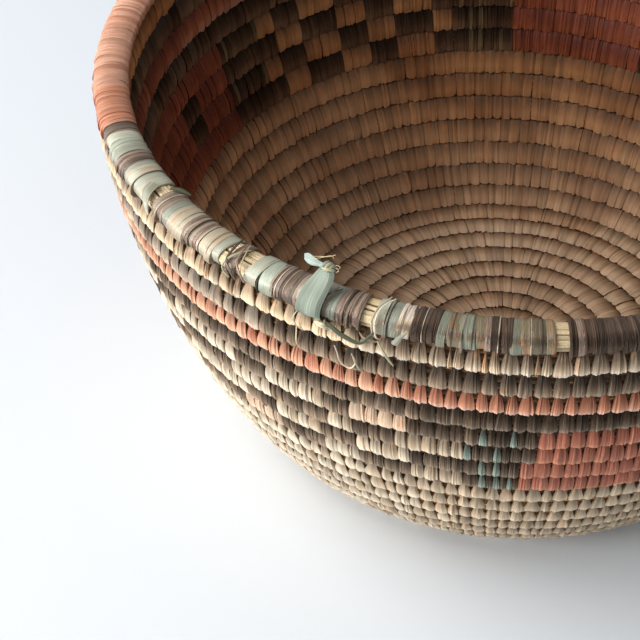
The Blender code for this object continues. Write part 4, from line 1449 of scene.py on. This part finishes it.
class BASKET_OT_rim_bindings(BasketOperator):
    """Bind the rim with turns of coral, brown and sage leaf"""

    bl_idname = "basket.rim_bindings"
    bl_label = "Rim bindings"

    def execute(self, context):
        coil = Coil(context.scene.basket_sizes)
        names = sorted(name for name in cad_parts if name.startswith("rim_wrap_"))
        for name, (first, last) in zip(names, BINDING_SPANS):
            _, _, digits, colour = name.split("_")
            number = int(digits)
            rng = np.random.default_rng(BINDING_SEED + number)
            turns = max(1, round((last - first) / BINDING_WIDTHS[colour]))
            shares = 1.0 + rng.uniform(-TURN_SPREAD, TURN_SPREAD, turns)
            edges = first + (last - first) * np.concatenate([[0.0], np.cumsum(shares) / shares.sum()])
            degrees, widths = (edges[1:] + edges[:-1]) / 2, np.diff(edges)
            dyes = OTHER_BINDING_DYES.get(number, BINDING_DYES[colour])
            second = np.full(turns, SECOND_DYE_SHARES[colour])
            if number == RUST_BINDING:
                second = np.where(degrees > RUST_FROM, RUST_SHARE, second)
            dye_of = (rng.uniform(0, 1, turns) < second).astype(int)
            piece = bind(f"binding_{digits}_{colour}", coil, degrees, widths, 0.0, dyes, dye_of, rng)
            settle(piece, f"{colour}_leaf", name)
        rng = np.random.default_rng(THREAD_SEED)
        spots, colours = zip(*ACCENTS)
        dyes, dye_of = dye_list(colours)
        widths = ACCENT_WIDTH * rng.uniform(*ACCENT_WIDTHS, len(spots))
        piece = bind("binding_threads", coil, np.array(spots), widths, ACCENT_LIFT, dyes, dye_of, rng)
        settle(piece, "natural_leaf")
        return {"FINISHED"}


class BASKET_OT_rim_straw(BasketOperator):
    """Lay the rim's bundle of straw"""

    bl_idname = "basket.rim_straw"
    bl_label = "Rim straw"

    def execute(self, context):
        sizes = context.scene.basket_sizes
        coil = Coil(sizes)
        rng = np.random.default_rng(STRAW_SEED)
        straw = np.arange(STRAWS)[:, None, None]
        degrees = np.linspace(SEAM_DEGREES + STRAW_GAP, SEAM_DEGREES + 360.0, STRAW_STATIONS)[None, :, None]
        wander = np.cumsum(rng.normal(0.0, STRAW_WANDER, (STRAWS, STRAW_STATIONS, 1)), axis=1)
        wander = np.clip(wander, -STRAW_WANDER_LIMIT, STRAW_WANDER_LIMIT)
        middle = math.tau * (straw + 0.5) / STRAWS + wander
        thick = rng.uniform(*STRAW_RADII, (STRAWS, 1, 1))
        thick = thick * (1.0 + rng.normal(0.0, STRAW_SPREAD, (STRAWS, STRAW_STATIONS, 1)))
        around = math.tau * np.arange(STRAW_SIDES)[None, None, :] / STRAW_SIDES
        up, out = rim_outline(coil, middle, sizes.wrap_leaf + STRAW_DEPTH)
        rings = coil.rim_place(degrees, up + thick * np.cos(around), out + thick * np.sin(around))
        seed = degrees / STRAW_LENGTH + straw
        marks = leaf_marks(np.cos(around), STRAW_SHADE, seed, rng.uniform(0, 1, (STRAWS, 1, 1)))
        piece = make_tubes("rim_straw", rings, ["pale_straw"], np.zeros(STRAWS), marks)
        settle(piece, "straw", "rim_bundle")
        # A dark core behind the straws, as painted shade in the gaps between them
        theta = math.tau * np.arange(CORE_SIDES)[None, None, :] / CORE_SIDES
        up, out = rim_outline(coil, theta, sizes.wrap_leaf + STRAW_DEPTH)
        marks = {mark: CORE_SHADE for mark in marks}
        piece = make_tubes("rim_core", coil.rim_place(degrees, up, out), ["dry_grass"], np.zeros(1), marks)
        settle(piece, "grass")
        return {"FINISHED"}


def lay_leaves(coil, leaves, rng):
    """Free strips of leaf, as a table lists them."""
    for name, left, right, leaf, bow, dye, slot, count, columns, nodes in leaves:
        piece = loose_leaf(name, coil, left, right, leaf, bow, dye, count, columns, rng)
        settle(piece, slot, *nodes)


class BASKET_OT_knotted_leaf(BasketOperator):
    """Tie the broad sage leaf over the rim, with its knot and frayed tail"""

    bl_idname = "basket.knotted_leaf"
    bl_label = "Knotted leaf"

    def execute(self, context):
        coil = Coil(context.scene.basket_sizes)
        rng = np.random.default_rng(KNOTTED_SEED)
        lay_leaves(coil, KNOTTED_LEAVES, rng)
        thicknesses = [KNOT_STRAND] * len(KNOT_LOOPS)
        dyes, dye_of = ["knotted_leaf", "straw_green"], np.arange(len(KNOT_LOOPS)) % 2
        settle(fibres("knot", coil, KNOT_LOOPS, thicknesses, dyes, dye_of, rng), "sage_leaf")
        thicknesses = [FRAYED_FIBRE] * len(FRAYED_LINES)
        dyes, dye_of = ["pale_straw"], np.zeros(len(FRAYED_LINES))
        settle(fibres("frayed_fibres", coil, FRAYED_LINES, thicknesses, dyes, dye_of, rng), "straw")
        return {"FINISHED"}


class BASKET_OT_loose_ends(BasketOperator):
    """Lay the loose dark strip, the stray fibres and the broken straws"""

    bl_idname = "basket.loose_ends"
    bl_label = "Loose ends"

    def execute(self, context):
        coil = Coil(context.scene.basket_sizes)
        rng = np.random.default_rng(LOOSE_SEED)
        lay_leaves(coil, LOOSE_LEAVES, rng)
        lines, thicknesses, colours = zip(*STRAY_LINES)
        dyes, dye_of = dye_list(colours)
        settle(fibres("stray_fibres", coil, lines, thicknesses, dyes, dye_of, rng), "straw")
        return {"FINISHED"}


def table_finish(colour):
    material = bpy.data.materials.new("pale_table")
    material.use_nodes = True
    shader = material.node_tree.nodes["Principled BSDF"]
    shader.inputs["Base Color"].default_value = (*colour, 1.0)
    shader.inputs["Roughness"].default_value = TABLE_ROUGHNESS
    shader.inputs["Specular IOR Level"].default_value = TABLE_SHEEN
    return material


def area_lamp(name, place, aim, size, power):
    lamp = bpy.data.lights.new(name, "AREA")
    lamp.shape = "DISK"
    lamp.size = size
    lamp.energy = power
    thing = bpy.data.objects.new(name, lamp)
    bpy.context.scene.collection.objects.link(thing)
    thing.location = place
    toward = np.array(aim) - np.array(place)
    thing.rotation_euler = Vector(toward).to_track_quat("-Z", "Y").to_euler()


class BASKET_OT_studio(BasketOperator):
    """Set up the pale table, the lamps and the camera"""

    bl_idname = "basket.studio"
    bl_label = "Studio"

    def execute(self, context):
        scene = context.scene
        studio = scene.basket_studio
        camera = bpy.data.cameras.new("camera")
        camera.lens = studio.lens
        camera.sensor_width = SENSOR_WIDTH
        camera.clip_start, camera.clip_end = CAMERA_REACH
        eye = bpy.data.objects.new("camera", camera)
        scene.collection.objects.link(eye)
        eye.location = CAMERA_PLACE
        eye.rotation_mode = "YXZ"
        eye.rotation_euler = (math.radians(CAMERA_TILT), 0.0, 0.0)
        scene.camera = eye
        bpy.ops.mesh.primitive_circle_add(vertices=TABLE_CORNERS, radius=TABLE_RADIUS, fill_type="NGON")
        floor = context.active_object
        floor.name = "table"
        floor.data.materials.append(table_finish(studio.floor))
        area_lamp("window", *WINDOW_LAMP, studio.window_power)
        area_lamp("fill", *FILL_LAMP, studio.fill_power)
        world = bpy.data.worlds.new("sky")
        world.use_nodes = True
        backdrop = world.node_tree.nodes["Background"]
        backdrop.inputs["Color"].default_value = (*WHITE, 1.0)
        backdrop.inputs["Strength"].default_value = studio.sky
        scene.world = world
        scene.view_settings.view_transform = "Standard"
        return {"FINISHED"}


STEPS = [
    BASKET_OT_finishes,
    BASKET_OT_studio,
    BASKET_OT_start_knot,
    BASKET_OT_grass_bundle,
    BASKET_OT_base_stitches,
    BASKET_OT_wall_stitches,
    BASKET_OT_rim_straw,
    BASKET_OT_rim_bindings,
    BASKET_OT_knotted_leaf,
    BASKET_OT_loose_ends,
]


class BASKET_PT_steps(bpy.types.Panel):
    """The basket's steps, in order"""

    bl_label = "Coiled basket"
    bl_idname = "BASKET_PT_steps"
    bl_space_type = "VIEW_3D"
    bl_region_type = "UI"
    bl_category = "Basket"

    def draw(self, context):
        for step in STEPS:
            self.layout.operator(step.bl_idname, text=step.bl_label)


SETTINGS = {"basket_sizes": BasketSizes, "basket_dyes": LeafDyes, "basket_studio": StudioSettings}


def register():
    for made in (*SETTINGS.values(), *STEPS, BASKET_PT_steps):
        bpy.utils.register_class(made)
    for name, group in SETTINGS.items():
        setattr(bpy.types.Scene, name, PointerProperty(type=group))


def unregister():
    for name in SETTINGS:
        delattr(bpy.types.Scene, name)
    for made in (BASKET_PT_steps, *reversed(STEPS), *reversed(SETTINGS.values())):
        bpy.utils.unregister_class(made)


def main():
    register()
    bpy.ops.basket.finishes()
    bpy.ops.basket.studio()
    bpy.ops.basket.start_knot()
    bpy.ops.basket.grass_bundle()
    bpy.ops.basket.base_stitches()
    bpy.ops.basket.wall_stitches()
    bpy.ops.basket.rim_straw()
    bpy.ops.basket.rim_bindings()
    bpy.ops.basket.knotted_leaf()
    bpy.ops.basket.loose_ends()


if __name__ == "__main__":
    main()
